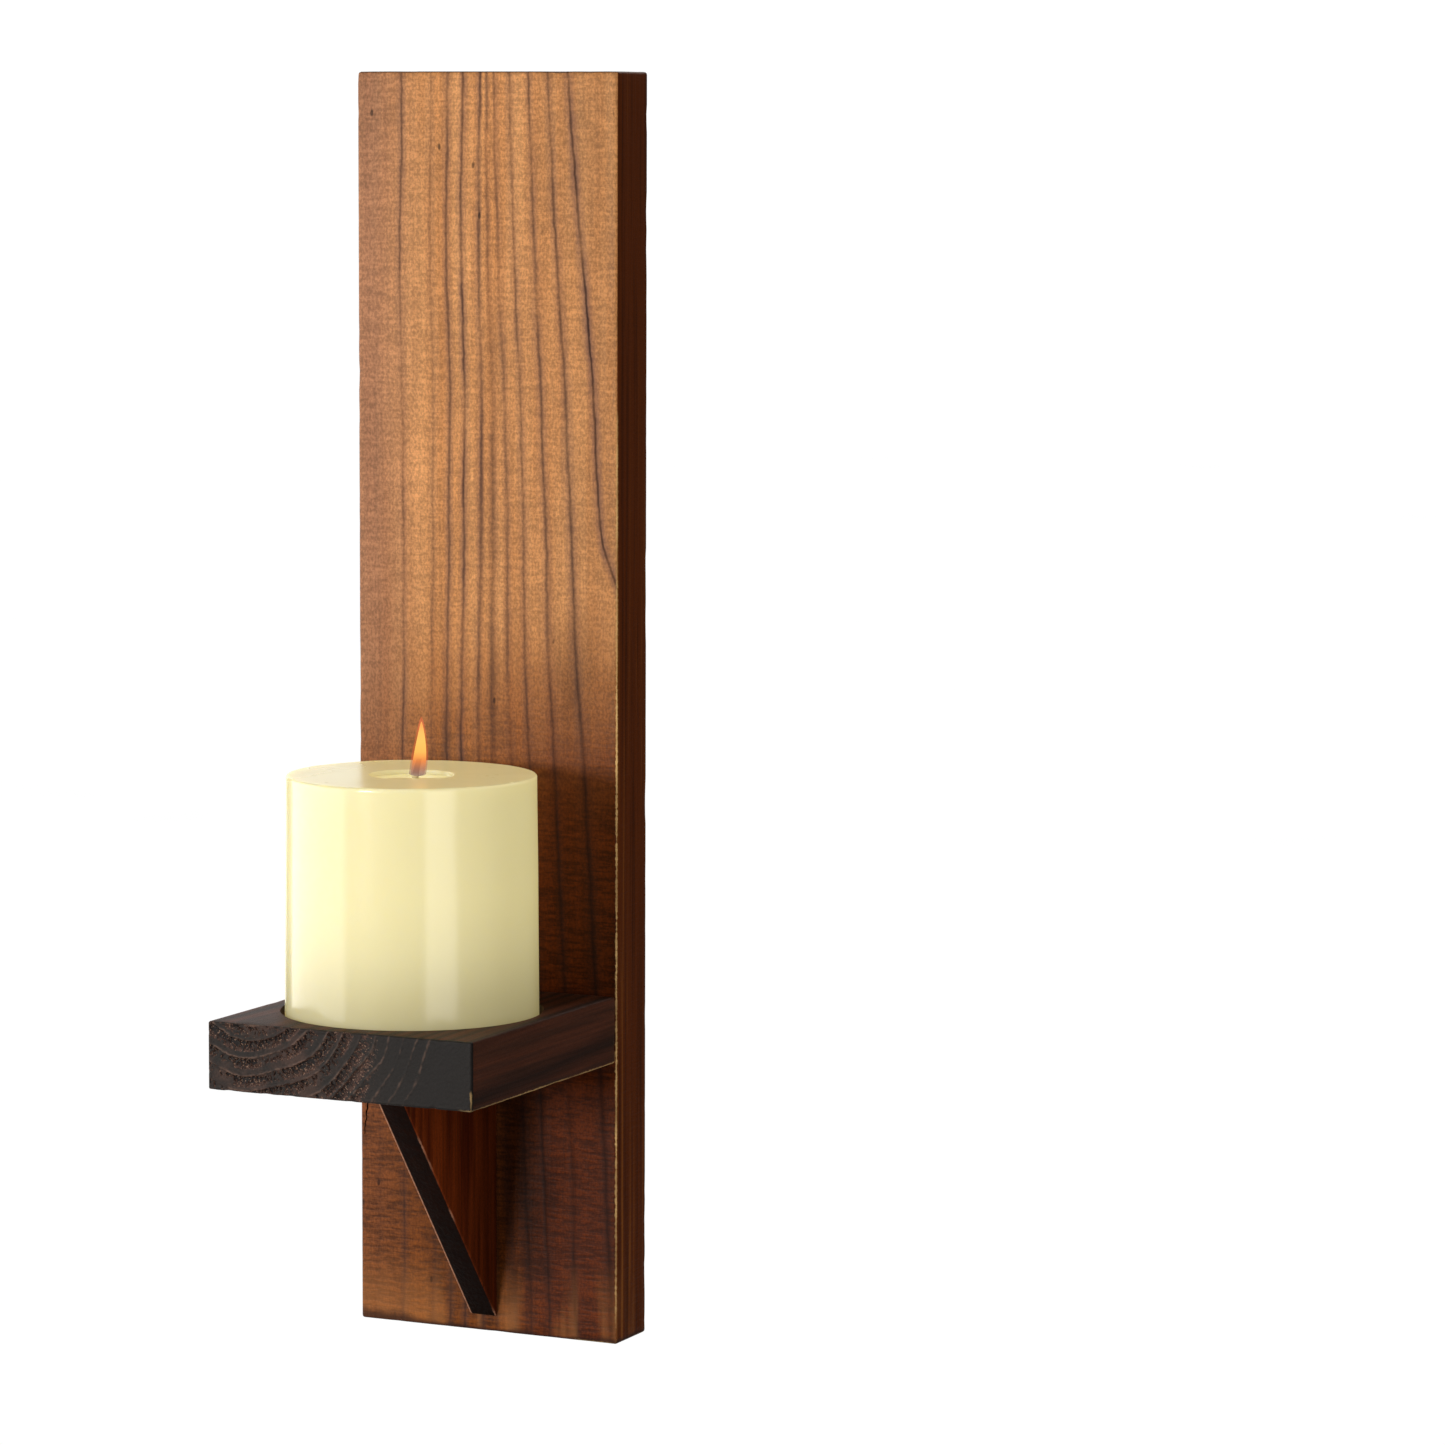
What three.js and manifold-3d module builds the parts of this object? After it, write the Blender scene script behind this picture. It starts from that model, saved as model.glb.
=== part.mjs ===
// A torched-wood wall sconce for one pillar candle: a tall backboard, a square shelf held up by a
// thin triangular brace, a keyhole hanger let into the back, the screws, and the candle itself.
// Millimetres. +Z is up, +Y points at the wall and +X to the viewer's right.
// The origin is the centre of the board's back face, the face that lies on the wall.

import * as THREE from 'three';
import { mergeVertices } from 'three/addons/utils/BufferGeometryUtils.js';
import Module from 'manifold-3d';

const wasm = await Module();
wasm.setup();

// Driving dimensions
const board = { width: 89, thickness: 20.5, height: 388, easedEdge: 0.7 };
const shelf = { width: 88, depth: 94.4, thickness: 20.5, undersideAboveBoardEnd: 87.5, easedEdge: 0.6 };
const brace = { thickness: 9.1, reach: 64.4, tipAboveBoardEnd: 5.2, tipFlat: 1, offCentre: -1.2 };
const candle = {
  baseRadius: 38.2, topRadius: 37.6, height: 76.2, easedEdge: 1.3,
  poolRadius: 13, poolDepth: 1.8, behindShelfCentre: -1.5,
};
const recess = { radius: 39.5, depth: 5 };
const wick = { radius: 1.1, aboveWax: 6.5, lean: 1.6, offCentre: 1.4 };
const wickTab = { radius: 9, thickness: 0.6, neckRadius: 2.1, neckHeight: 5 };
const hanger = {
  width: 46, height: 18, thickness: 1.8, belowBoardTop: 30, belowSurface: 0.2, screwSpacing: 33,
  entryRadius: 4.6, entryDrop: 2.6, slotHalfWidth: 2.3, slotRise: 4,
};
const nailPocket = { footRadius: 5.7, topRadius: 5.6, depth: 8 };
const shelfScrew = { headRadius: 4, shankRadius: 2.1, length: 50, crossDepth: 1.6, crossArm: 4.4 };
const braceScrew = { headRadius: 3.6, shankRadius: 1.8, length: 45, crossDepth: 1.5, crossArm: 4 };
const braceLowerScrew = { ...braceScrew, length: 32 };
const braceTopScrew = { ...braceScrew, length: 30 };
const hangerScrew = { headRadius: 3.1, shankRadius: 1.5, length: 14, crossDepth: 1.1, crossArm: 3.2 };
const shelfScrewSpacing = 52;
const braceScrewDrop = { upper: 20, lower: 53.5 };
const braceTopScrewReach = { rear: 15, front: 42 };
const screwHeadBelowSurface = 0.5;
const screwPointRatio = 2.4;
const fitGap = 0.3;
const roundSides = 72;
const smallSides = 24;
const cutterMouth = 1;

// Levels and planes worked out from them
const boardFrontY = -board.thickness;
const boardEndZ = -board.height / 2;
const shelfUndersideZ = boardEndZ + shelf.undersideAboveBoardEnd;
const shelfTopZ = shelfUndersideZ + shelf.thickness;
const shelfMiddleZ = shelfUndersideZ + shelf.thickness / 2;
const shelfMiddleY = boardFrontY - shelf.depth / 2;
const recessFloorZ = shelfTopZ - recess.depth;
const candleY = shelfMiddleY + candle.behindShelfCentre;
const braceHeight = shelf.undersideAboveBoardEnd - brace.tipAboveBoardEnd;
const hangerZ = board.height / 2 - hanger.belowBoardTop;

// Finishes
const finish = (color, roughness, metalness = 0) =>
  new THREE.MeshStandardMaterial({ color, roughness, metalness });
const boardWood = finish(0x8a552b, 0.55);
const shelfWood = finish(0x45291d, 0.65);
const braceWood = finish(0x3a1f14, 0.65);
const wax = finish(0xe9dfae, 0.35);
const cotton = finish(0x2b2522, 0.9);
const tinPlate = finish(0xb9bcbf, 0.4, 0.9);
const zincSteel = finish(0xa9acae, 0.38, 0.9);

// A closed triangle mesh made into a solid that can be cut
function toSolid(geometry) {
  const bare = geometry.clone();
  bare.deleteAttribute('normal');
  bare.deleteAttribute('uv');
  const merged = mergeVertices(bare);
  const index = merged.index.array;
  const triangles = [];
  for (let i = 0; i < index.length; i += 3) {
    const [a, b, c] = [index[i], index[i + 1], index[i + 2]];
    if (a !== b && b !== c && c !== a) triangles.push(a, b, c);
  }
  return new wasm.Manifold(new wasm.Mesh({
    numProp: 3,
    vertProperties: merged.attributes.position.array,
    triVerts: new Uint32Array(triangles),
  }));
}

function toGeometry(solid) {
  const mesh = solid.getMesh();
  const geometry = new THREE.BufferGeometry();
  geometry.setAttribute('position', new THREE.BufferAttribute(mesh.vertProperties, 3));
  geometry.setIndex(new THREE.BufferAttribute(mesh.triVerts, 1));
  geometry.computeVertexNormals();
  return geometry;
}

function cut(geometry, tools) {
  const remaining = tools.reduce((solid, tool) => solid.subtract(toSolid(tool)), toSolid(geometry));
  return toGeometry(remaining);
}

// A rectangular slab standing in the X-Z plane, its eased edges within the stated size,
// centred on X and Z and reaching from Y = 0 to Y = -thickness
function easedSlab(width, height, thickness, easing) {
  const x = width / 2 - easing;
  const z = height / 2 - easing;
  const outline = new THREE.Shape([
    new THREE.Vector2(-x, -z), new THREE.Vector2(x, -z), new THREE.Vector2(x, z), new THREE.Vector2(-x, z),
  ]);
  const slab = new THREE.ExtrudeGeometry(outline, {
    depth: thickness - 2 * easing,
    bevelEnabled: true,
    bevelSize: easing,
    bevelThickness: easing,
    bevelSegments: 1,
  });
  return slab.translate(0, 0, easing).rotateX(Math.PI / 2);
}

// A body turned about Z from (radius, height) pairs, listed from the foot upwards
function turned(profile, sides = roundSides) {
  const points = profile.map(([radius, height]) => new THREE.Vector2(radius, height));
  return new THREE.LatheGeometry(points, sides).rotateX(Math.PI / 2);
}

// A countersunk wood screw on the Z axis, its head's flat face at Z = 0 and its tip below
function screwBody({ headRadius, shankRadius, length }) {
  return turned([
    [0, -length],
    [shankRadius, tipTop(length, shankRadius)],
    [shankRadius, shankRadius - headRadius],
    [headRadius, 0],
    [0, 0],
  ], smallSides);
}

// The hole that such a screw sits in, open above the head
function screwHole({ headRadius, shankRadius, length }) {
  const head = headRadius + fitGap;
  const shank = shankRadius + fitGap;
  return turned([
    [0, -length - fitGap],
    [shank, tipTop(length, shankRadius)],
    [shank, shankRadius - headRadius],
    [head, 0],
    [head, cutterMouth],
    [0, cutterMouth],
  ], smallSides);
}

// Where a screw's point ends and its shank begins
const tipTop = (length, shankRadius) => screwPointRatio * shankRadius - length;

// The cross-shaped driver recess, as two bars to be cut from the head
function crossRecess({ crossDepth, crossArm }) {
  const barWidth = crossArm / 4;
  const alongX = new THREE.BoxGeometry(crossArm, barWidth, 2 * crossDepth);
  const alongY = new THREE.BoxGeometry(barWidth, crossArm, 2 * crossDepth);
  return [alongX, alongY];
}

const screw = (size) => cut(screwBody(size), crossRecess(size));

// Screws driven from the back lie along Y with the head's face towards the wall
const fromTheBack = (geometry) => geometry.rotateX(-Math.PI / 2);

// A keyhole-shaped outline: a round foot at the bottom, and a slot above it with a round top
function keyholeOutline(footRadius, footZ, halfWidth, topZ) {
  const meeting = Math.asin(halfWidth / footRadius);
  const outline = new THREE.Shape();
  outline.absarc(0, footZ, footRadius, Math.PI / 2 + meeting, 5 * Math.PI / 2 - meeting, false);
  outline.absarc(0, topZ, halfWidth, 0, Math.PI, false);
  return outline;
}

// A flat outline given thickness, standing in the X-Z plane from Y = 0 to Y = -thickness
function standingPlate(outline, thickness) {
  const options = { depth: thickness, bevelEnabled: false, curveSegments: smallSides };
  return new THREE.ExtrudeGeometry(outline, options).rotateX(Math.PI / 2);
}

// Every screw: its node's name, size, and the point of its head's face
const backScrewY = -screwHeadBelowSurface;
const hangerScrewY = -hanger.belowSurface;
const shelfScrews = [['left', -1], ['right', 1]].map(([side, sign]) => ({
  name: `shelf_screw_${side}`,
  size: shelfScrew,
  head: [sign * shelfScrewSpacing / 2, backScrewY, shelfMiddleZ],
}));
const hangerScrews = [['left', -1], ['right', 1]].map(([side, sign]) => ({
  name: `hanger_screw_${side}`,
  size: hangerScrew,
  head: [sign * hanger.screwSpacing / 2, hangerScrewY, hangerZ],
}));
const braceScrews = [['upper', braceScrew], ['lower', braceLowerScrew]].map(([place, size]) => ({
  name: `brace_screw_${place}`,
  size,
  head: [brace.offCentre, backScrewY, shelfUndersideZ - braceScrewDrop[place]],
}));
const braceTopScrews = ['rear', 'front'].map((place) => ({
  name: `brace_top_screw_${place}`,
  size: braceTopScrew,
  head: [brace.offCentre, boardFrontY - braceTopScrewReach[place], recessFloorZ - screwHeadBelowSurface],
}));
const backScrews = [...shelfScrews, ...hangerScrews, ...braceScrews];

// The holes that a list of screws needs in a piece whose own origin stands at the given point
const holesFromTheBack = (screws, [x, y, z]) => screws.map(({ size, head }) =>
  fromTheBack(screwHole(size)).translate(head[0] - x, head[1] - y, head[2] - z));
const holesFromAbove = (screws, [x, y, z]) => screws.map(({ size, head }) =>
  screwHole(size).translate(head[0] - x, head[1] - y, head[2] - z));

const sconce = new THREE.Group();

function place(name, geometry, material, position) {
  const mesh = new THREE.Mesh(geometry, material);
  mesh.name = name;
  mesh.position.set(...position);
  sconce.add(mesh);
}

// The backboard, with the let-in for the hanger, the pocket for the wall screw's head behind it,
// and clearance holes for the screws
function makeBackboard() {
  const blank = easedSlab(board.width, board.height, board.thickness, board.easedEdge);
  const letInDepth = hanger.belowSurface + hanger.thickness + fitGap;
  const letIn = standingPlate(hangerOutline(fitGap), letInDepth + cutterMouth)
    .translate(0, cutterMouth, hangerZ);
  const pocketOutline = keyholeOutline(
    nailPocket.footRadius, -hanger.entryDrop, nailPocket.topRadius, hanger.slotRise);
  const pocket = standingPlate(pocketOutline, letInDepth + nailPocket.depth + cutterMouth)
    .translate(0, cutterMouth, hangerZ);
  return cut(blank, [letIn, pocket, ...holesFromTheBack(backScrews, [0, 0, 0])]);
}

// The hanger's outline: a plate with fully round ends, grown by a margin where it is a cutter
function hangerOutline(margin = 0) {
  const radius = hanger.height / 2 + margin;
  const ends = (hanger.width - hanger.height) / 2;
  const outline = new THREE.Shape();
  outline.absarc(ends, 0, radius, -Math.PI / 2, Math.PI / 2, false);
  outline.absarc(-ends, 0, radius, Math.PI / 2, 3 * Math.PI / 2, false);
  return outline;
}

function makeHanger() {
  const outline = hangerOutline();
  outline.holes.push(keyholeOutline(
    hanger.entryRadius, -hanger.entryDrop, hanger.slotHalfWidth, hanger.slotRise));
  return cut(standingPlate(outline, hanger.thickness),
    holesFromTheBack(hangerScrews, [0, -hanger.belowSurface, hangerZ]));
}

// The shelf, with the round recess that the candle stands in
function makeShelf() {
  const corner = [0, boardFrontY, shelfMiddleZ];
  const blank = easedSlab(shelf.width, shelf.thickness, shelf.depth, shelf.easedEdge);
  const well = turned([[0, 0], [recess.radius, 0], [recess.radius, 2 * recess.depth], [0, 2 * recess.depth]])
    .translate(0, candleY - boardFrontY, recessFloorZ - shelfMiddleZ);
  return cut(blank, [well, ...holesFromTheBack(shelfScrews, corner), ...holesFromAbove(braceTopScrews, corner)]);
}

// The brace: a thin right triangle, its upright edge on the board and its top edge under the shelf
function makeBrace() {
  const outline = new THREE.Shape([
    new THREE.Vector2(0, -braceHeight),
    new THREE.Vector2(brace.tipFlat, -braceHeight),
    new THREE.Vector2(brace.reach, -brace.tipFlat),
    new THREE.Vector2(brace.reach, 0),
    new THREE.Vector2(0, 0),
  ]);
  const options = { depth: brace.thickness, bevelEnabled: false };
  const blank = new THREE.ExtrudeGeometry(outline, options)
    .translate(0, 0, -brace.thickness / 2)
    .rotateX(Math.PI / 2)
    .rotateZ(-Math.PI / 2);
  const corner = [brace.offCentre, boardFrontY, shelfUndersideZ];
  return cut(blank, [...holesFromTheBack(braceScrews, corner), ...holesFromAbove(braceTopScrews, corner)]);
}

// The candle: a moulded pillar with a shallow melt pool on top, a hole for the wick,
// and a seat for the wick's metal tab underneath
function makeCandle() {
  const { baseRadius, topRadius, height, easedEdge, poolRadius, poolDepth } = candle;
  const pillar = turned([
    [0, 0],
    [baseRadius - easedEdge, 0],
    [baseRadius, easedEdge],
    [topRadius, height - easedEdge],
    [topRadius - 0.3 * easedEdge, height - 0.3 * easedEdge],
    [topRadius - easedEdge, height],
    [poolRadius, height],
    [0.8 * poolRadius, height - 0.7 * poolDepth],
    [0.5 * poolRadius, height - poolDepth],
    [0, height - poolDepth],
  ]);
  const tabSeat = turned([
    [0, -cutterMouth],
    [wickTab.radius + fitGap, -cutterMouth],
    [wickTab.radius + fitGap, wickTab.thickness + fitGap],
    [wickTab.neckRadius + fitGap, wickTab.thickness + fitGap],
    [wickTab.neckRadius + fitGap, wickTab.neckHeight + fitGap],
    [wick.radius + fitGap, wickTab.neckHeight + fitGap],
    [wick.radius + fitGap, height + cutterMouth],
    [0, height + cutterMouth],
  ], smallSides).translate(wick.offCentre, 0, 0);
  return cut(pillar, [tabSeat]);
}

// The wick's metal tab: a disc with a short neck that grips the wick
function makeWickTab() {
  const bore = wick.radius + fitGap;
  return turned([
    [bore, 0],
    [wickTab.radius, 0],
    [wickTab.radius, wickTab.thickness],
    [wickTab.neckRadius, wickTab.thickness],
    [wickTab.neckRadius, wickTab.neckHeight],
    [bore, wickTab.neckHeight],
    [bore, 0],
  ], smallSides);
}

// The wick: straight through the wax, and leaning a little where it stands free above it
function makeWick() {
  const surface = candle.height - candle.poolDepth;
  const line = new THREE.CatmullRomCurve3([
    new THREE.Vector3(0, 0, wickTab.thickness),
    new THREE.Vector3(0, 0, 0.5 * surface),
    new THREE.Vector3(0, 0, surface),
    new THREE.Vector3(0.3 * wick.lean, 0, surface + 0.55 * wick.aboveWax),
    new THREE.Vector3(wick.lean, 0, surface + wick.aboveWax),
  ]);
  const section = new THREE.Shape();
  section.absarc(0, 0, wick.radius, 0, 2 * Math.PI, false);
  return new THREE.ExtrudeGeometry(section, { steps: 30, extrudePath: line, curveSegments: 5 });
}

place('backboard', makeBackboard(), boardWood, [0, 0, 0]);
place('shelf', makeShelf(), shelfWood, [0, boardFrontY, shelfMiddleZ]);
place('brace', makeBrace(), braceWood, [brace.offCentre, boardFrontY, shelfUndersideZ]);
place('keyhole_hanger', makeHanger(), zincSteel, [0, -hanger.belowSurface, hangerZ]);
for (const { name, size, head } of backScrews) place(name, fromTheBack(screw(size)), zincSteel, head);
for (const { name, size, head } of braceTopScrews) place(name, screw(size), zincSteel, head);
place('candle', makeCandle(), wax, [0, candleY, recessFloorZ]);
place('wick_tab', makeWickTab(), tinPlate, [wick.offCentre, candleY, recessFloorZ]);
place('candle_wick', makeWick(), cotton, [wick.offCentre, candleY, recessFloorZ]);

export default sconce;
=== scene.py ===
"""A torched-wood wall sconce with a burning pillar candle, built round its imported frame.

Run as a script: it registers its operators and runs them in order.
Lengths are metres in the frame: +Z up, +Y towards the wall, +X to the viewer's right.
"""

import math

import bmesh
import bpy
from mathutils import Euler, Matrix, Vector, noise


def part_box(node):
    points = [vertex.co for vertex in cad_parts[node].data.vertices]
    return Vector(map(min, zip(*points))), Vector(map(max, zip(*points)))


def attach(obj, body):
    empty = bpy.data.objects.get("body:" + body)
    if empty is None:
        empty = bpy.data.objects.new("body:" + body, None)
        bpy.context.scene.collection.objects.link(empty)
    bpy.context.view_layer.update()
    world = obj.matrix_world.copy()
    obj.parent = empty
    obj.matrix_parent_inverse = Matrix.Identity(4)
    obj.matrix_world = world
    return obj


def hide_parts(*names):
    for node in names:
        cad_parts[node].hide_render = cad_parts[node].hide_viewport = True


bl_info = {
    "name": "Torched Wood Sconce",
    "version": (1, 0, 0),
    "blender": (4, 5, 0),
    "location": "View3D > Sidebar > Sconce",
    "description": "Builds a wooden wall sconce, its candle and its hardware round a packed frame",
    "category": "Add Mesh",
}

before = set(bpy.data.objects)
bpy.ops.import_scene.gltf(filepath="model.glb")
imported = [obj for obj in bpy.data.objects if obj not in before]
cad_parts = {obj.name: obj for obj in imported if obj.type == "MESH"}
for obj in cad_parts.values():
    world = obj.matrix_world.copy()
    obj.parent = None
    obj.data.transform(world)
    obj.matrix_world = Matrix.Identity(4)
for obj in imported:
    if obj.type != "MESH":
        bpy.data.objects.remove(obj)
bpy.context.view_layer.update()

MM = 0.001

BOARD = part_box("backboard")
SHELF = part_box("shelf")
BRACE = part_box("brace")
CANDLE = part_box("candle")
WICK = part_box("candle_wick")
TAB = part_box("wick_tab")
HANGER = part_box("keyhole_hanger")

BACK_SCREWS = ("shelf_screw_left", "shelf_screw_right", "brace_screw_upper", "brace_screw_lower")
HANGER_SCREWS = ("hanger_screw_left", "hanger_screw_right")
TOP_SCREWS = ("brace_top_screw_rear", "brace_top_screw_front")

FIT_GAP = 0.3 * MM
POOL_RADIUS = 13 * MM
MOLTEN_DROP = 1.3 * MM
RECESS_RADIUS = 39.5 * MM
TAB_NECK_RADIUS = 2.1 * MM
WICK_RADIUS = 1.1 * MM
NAIL_POCKET_RADIUS = 5.65 * MM
NAIL_POCKET_DEPTH = 8 * MM
FLAME_FOOT_RADIUS = 2.65 * MM
FLAME_HEIGHT = 17.9 * MM
FLAME_LEAN = 1.5 * MM
FLAME_SINK = 0.6 * MM
# A screw's core as a share of its head's radius, and how the thread is drawn: the rings of points to
# each turn, cut in two passes, and the share of the screw that is threaded
SHANK_SHARE = 0.51
RINGS_PER_TURN = 6
SECOND_PASS = 8
THREADED_SHARE = 0.72
# Cells that the blocks are cut into along X, Y and Z, as counts that multiply up
BOARD_CELLS = ((30,), (7,), (44, 3))
SHELF_CELLS = ((55,), (24,), (13,))
FRONT_CUTS = 7
KEYHOLE = {"entry_radius": 4.6 * MM, "entry_drop": 2.6 * MM, "slot_radius": 2.3 * MM, "slot_rise": 4 * MM}

# Growth rings met across the board's front at its top end, from the middle of the board in
# millimetres, with how dark each is
BOARD_RINGS = (
    (-38.0, 0.15), (-29.2, 0.65), (-18.9, 0.4), (-13.4, 0.75), (-8.4, 1.0), (-2.6, 0.9),
    (-0.3, 0.55), (2.3, 0.6), (7.7, 0.7), (14.2, 0.7), (20.9, 0.75),
)
# The ring nearest the right edge: where it starts, how far it leans over the board's height, and how
# far it hooks out before it leaves the board
EDGE_RING_START = 27.9 * MM
EDGE_RING_LEAN = 32 * MM
EDGE_RING_HOOK = 9 * MM
# Height at which the short split by the board's left edge ends, under the shelf
SPLIT_FOOT = BOARD[0].z + 58.5 * MM
# Radii of the growth rings in the shelf's end grain, in millimetres from the heart of the tree
SHELF_RINGS = (15, 19.4, 24.7, 30.2, 34.8, 40.5, 44.6, 48.8, 54, 58.5, 62.5, 68, 74.5, 81, 88)
# The last ring whose late wood stands proud; past it the end grain is planed smooth
LAST_PROUD_RING = 64 * MM
# How far the soft wood between the rings has worn back, and how deep the torn strokes go
WORN_BACK = 0.22 * MM
TORN_DEPTH = 0.6 * MM
# The floor's size and its drop below the board, in metres, and how brightly the floor and the surround
# show to the camera, just past white
FLOOR_SIZE = 40
FLOOR_DROP = 0.45
FLOOR_WHITE = 1.04
SURROUND_WHITE = 1.05


def middle(box):
    """The centre of a node's box."""
    return (box[0] + box[1]) / 2


def stain(red, green, blue):
    """A screen colour of 0 to 255 a channel, as the linear colour that shaders take."""
    def linear(value):
        share = value / 255
        return share / 12.92 if share <= 0.04045 else ((share + 0.055) / 1.055) ** 2.4
    return (linear(red), linear(green), linear(blue))


# ---------------------------------------------------------------- settings


def colour(name, description, value):
    """A colour setting."""
    return bpy.props.FloatVectorProperty(
        name=name, description=description, default=value, subtype="COLOR", size=3, min=0, max=1)


def length(name, description, value):
    """A length setting, in metres."""
    return bpy.props.FloatProperty(name=name, description=description, default=value, min=0, unit="LENGTH")


def factor(name, description, value, high=1.0):
    """A plain number setting."""
    return bpy.props.FloatProperty(name=name, description=description, default=value, min=0, max=high)


class SconceWoodSettings(bpy.types.PropertyGroup):
    """The torched timber of board, shelf and brace."""

    eased_edge: length("Eased edge", "Radius that the long edges are sanded to", 0.9 * MM)
    wear_width: length("Worn strip", "Width of the strip rubbed pale along an edge", 0.75 * MM)
    light_wood: colour("Light wood", "Early wood where the stain is thin", stain(200, 143, 90))
    mid_wood: colour("Mid wood", "Early wood with the usual stain", stain(172, 111, 60))
    # Darker towards the lower end of the board: partly deeper stain, partly painted shade
    deep_wood_and_shade: colour("Deep wood", "Stain towards the lower end of the board", stain(130, 68, 16))
    smoky_wood: colour("Smoky wood", "Torched wood beside a growth ring", stain(112, 76, 66))
    char: colour("Char", "Late wood and ends where the flame bit", stain(40, 22, 18))
    pale_wood: colour("Rubbed edge", "Bare timber on a rubbed edge", stain(240, 196, 128))
    side_wood: colour("Side wood", "Dark stain on the board's long sides", stain(100, 45, 11))
    end_grain: colour("End grain", "Scorched end grain of the shelf", stain(33, 28, 25))


class SconceCandleSettings(bpy.types.PropertyGroup):
    """The candle, its wick and its flame."""

    wax: colour("Wax", "Ivory paraffin wax", stain(190, 186, 156))
    # Painted shade: the lower wax darkens the wax towards its foot; the inner light is a painted glow that
    # makes the wax shine by itself
    shaded_wax: colour("Lower wax", "Wax near the foot, where less light gets in", stain(166, 160, 130))
    inner_light: colour("Inner light", "Light of the flame that the wax lets through", stain(222, 205, 138))
    inner_strength: factor("Inner light strength", "How strongly the lit wax glows", 0.62, 5)
    rim_radius: length("Rim radius", "Rounding of the candle's top edge", 1.2 * MM)
    glow: factor("Flame strength", "How strongly the flame shines", 1.15, 20)


class SconceMetalSettings(bpy.types.PropertyGroup):
    """Hanger, screws and wick tab."""

    zinc: colour("Zinc plate", "Bright zinc on hanger and screws", stain(186, 188, 190))
    tin: colour("Tin plate", "Bright tin on the wick's tab", stain(206, 206, 204))
    thread_pitch: length("Thread pitch", "Distance from one turn of the thread to the next", 2.0 * MM)


class SconceStudioSettings(bpy.types.PropertyGroup):
    """Camera, lights and floor."""

    camera_azimuth: bpy.props.FloatProperty(
        name="Camera azimuth", description="Turn of the camera from straight ahead towards +X",
        default=math.radians(25.07), subtype="ANGLE", unit="ROTATION")
    camera_height: bpy.props.FloatProperty(
        name="Camera elevation", description="Height of the camera above the level, as an angle",
        default=math.radians(6.26), subtype="ANGLE", unit="ROTATION")
    camera_roll: bpy.props.FloatProperty(
        name="Camera roll", description="Turn of the camera about its own line of sight",
        default=math.radians(0.2), subtype="ANGLE", unit="ROTATION")
    camera_distance: length("Camera distance", "From the camera to the point it looks at", 1.6608)
    focal_length: factor("Focal length", "Lens for a 36 mm sensor, in millimetres", 137.8, 300)
    aim: bpy.props.FloatVectorProperty(
        name="Aim", description="Point that the camera looks at", default=(0.0797, BOARD[0].y, -0.0002),
        subtype="TRANSLATION", size=3)
    ambient: factor("Ambient", "Strength of the light from all round", 0.06, 5)


# ---------------------------------------------------------------- modelling helpers


def start(name, add, **settings):
    """Adds a primitive under its piece's name, alone selected, with its place put in its mesh."""
    if bpy.context.object and bpy.context.object.mode == "EDIT":
        bpy.ops.object.mode_set(mode="OBJECT")
    bpy.ops.object.select_all(action="DESELECT")
    add(**settings)
    piece = bpy.context.active_object
    piece.name = name
    piece.data.name = name
    bpy.ops.object.transform_apply(location=True, rotation=True, scale=True)
    return piece


def block(name, low, high):
    """A block between two corners."""
    return start(name, bpy.ops.mesh.primitive_cube_add, size=1, location=(low + high) / 2, scale=high - low)


def rod(name, radius, foot, head, sides=48):
    """A round rod from its foot to its head."""
    line = head - foot
    turn = line.to_track_quat("Z", "Y").to_euler()
    return start(name, bpy.ops.mesh.primitive_cylinder_add, vertices=sides, radius=radius,
                 depth=line.length, location=(foot + head) / 2, rotation=turn)


def cone(name, foot_radius, head_radius, foot, head, sides=48):
    """A round cone or taper from its foot to its head."""
    line = head - foot
    turn = line.to_track_quat("Z", "Y").to_euler()
    return start(name, bpy.ops.mesh.primitive_cone_add, vertices=sides, radius1=foot_radius,
                 radius2=head_radius, depth=line.length, location=(foot + head) / 2, rotation=turn)


def make_active(piece):
    """Selects one piece alone."""
    bpy.ops.object.select_all(action="DESELECT")
    piece.select_set(True)
    bpy.context.view_layer.objects.active = piece


def edit(piece):
    """Opens a piece in edit mode."""
    make_active(piece)
    bpy.ops.object.mode_set(mode="EDIT")


def leave():
    """Closes edit mode."""
    bpy.ops.object.mode_set(mode="OBJECT")


def pick(piece, kind, test):
    """In edit mode, selects only the vertices, edges or faces that pass a test."""
    bpy.ops.mesh.select_mode(type=kind)
    bpy.ops.mesh.select_all(action="DESELECT")
    mesh = bmesh.from_edit_mesh(piece.data)
    elements = {"VERT": mesh.verts, "EDGE": mesh.edges, "FACE": mesh.faces}[kind]
    for element in elements:
        if test(element):
            element.select_set(True)
    mesh.select_flush_mode()
    bmesh.update_edit_mesh(piece.data)


def bevel(piece, width):
    """Rounds all edges of a piece."""
    edit(piece)
    pick(piece, "EDGE", lambda edge: True)
    bpy.ops.mesh.bevel(offset=width, segments=3, affect="EDGES")
    leave()


def lies_along(edge, axis):
    """True where an edge runs along that axis."""
    run = edge.verts[1].co - edge.verts[0].co
    return run.length > 0 and abs(run[axis]) > 0.999 * run.length


def divide(piece, passes):
    """Cuts a block into cells. passes gives, for each axis, the counts that multiply up."""
    edit(piece)
    for axis, counts in enumerate(passes):
        for count in counts:
            pick(piece, "EDGE", lambda edge, axis=axis: lies_along(edge, axis))
            bpy.ops.mesh.subdivide(number_cuts=count - 1)
    leave()


def apply_modifier(piece, kind, **settings):
    """Puts one modifier on a piece and applies it."""
    make_active(piece)
    modifier = piece.modifiers.new(kind.title(), kind)
    for name, value in settings.items():
        setattr(modifier, name, value)
    bpy.ops.object.modifier_apply(modifier=modifier.name)


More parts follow.
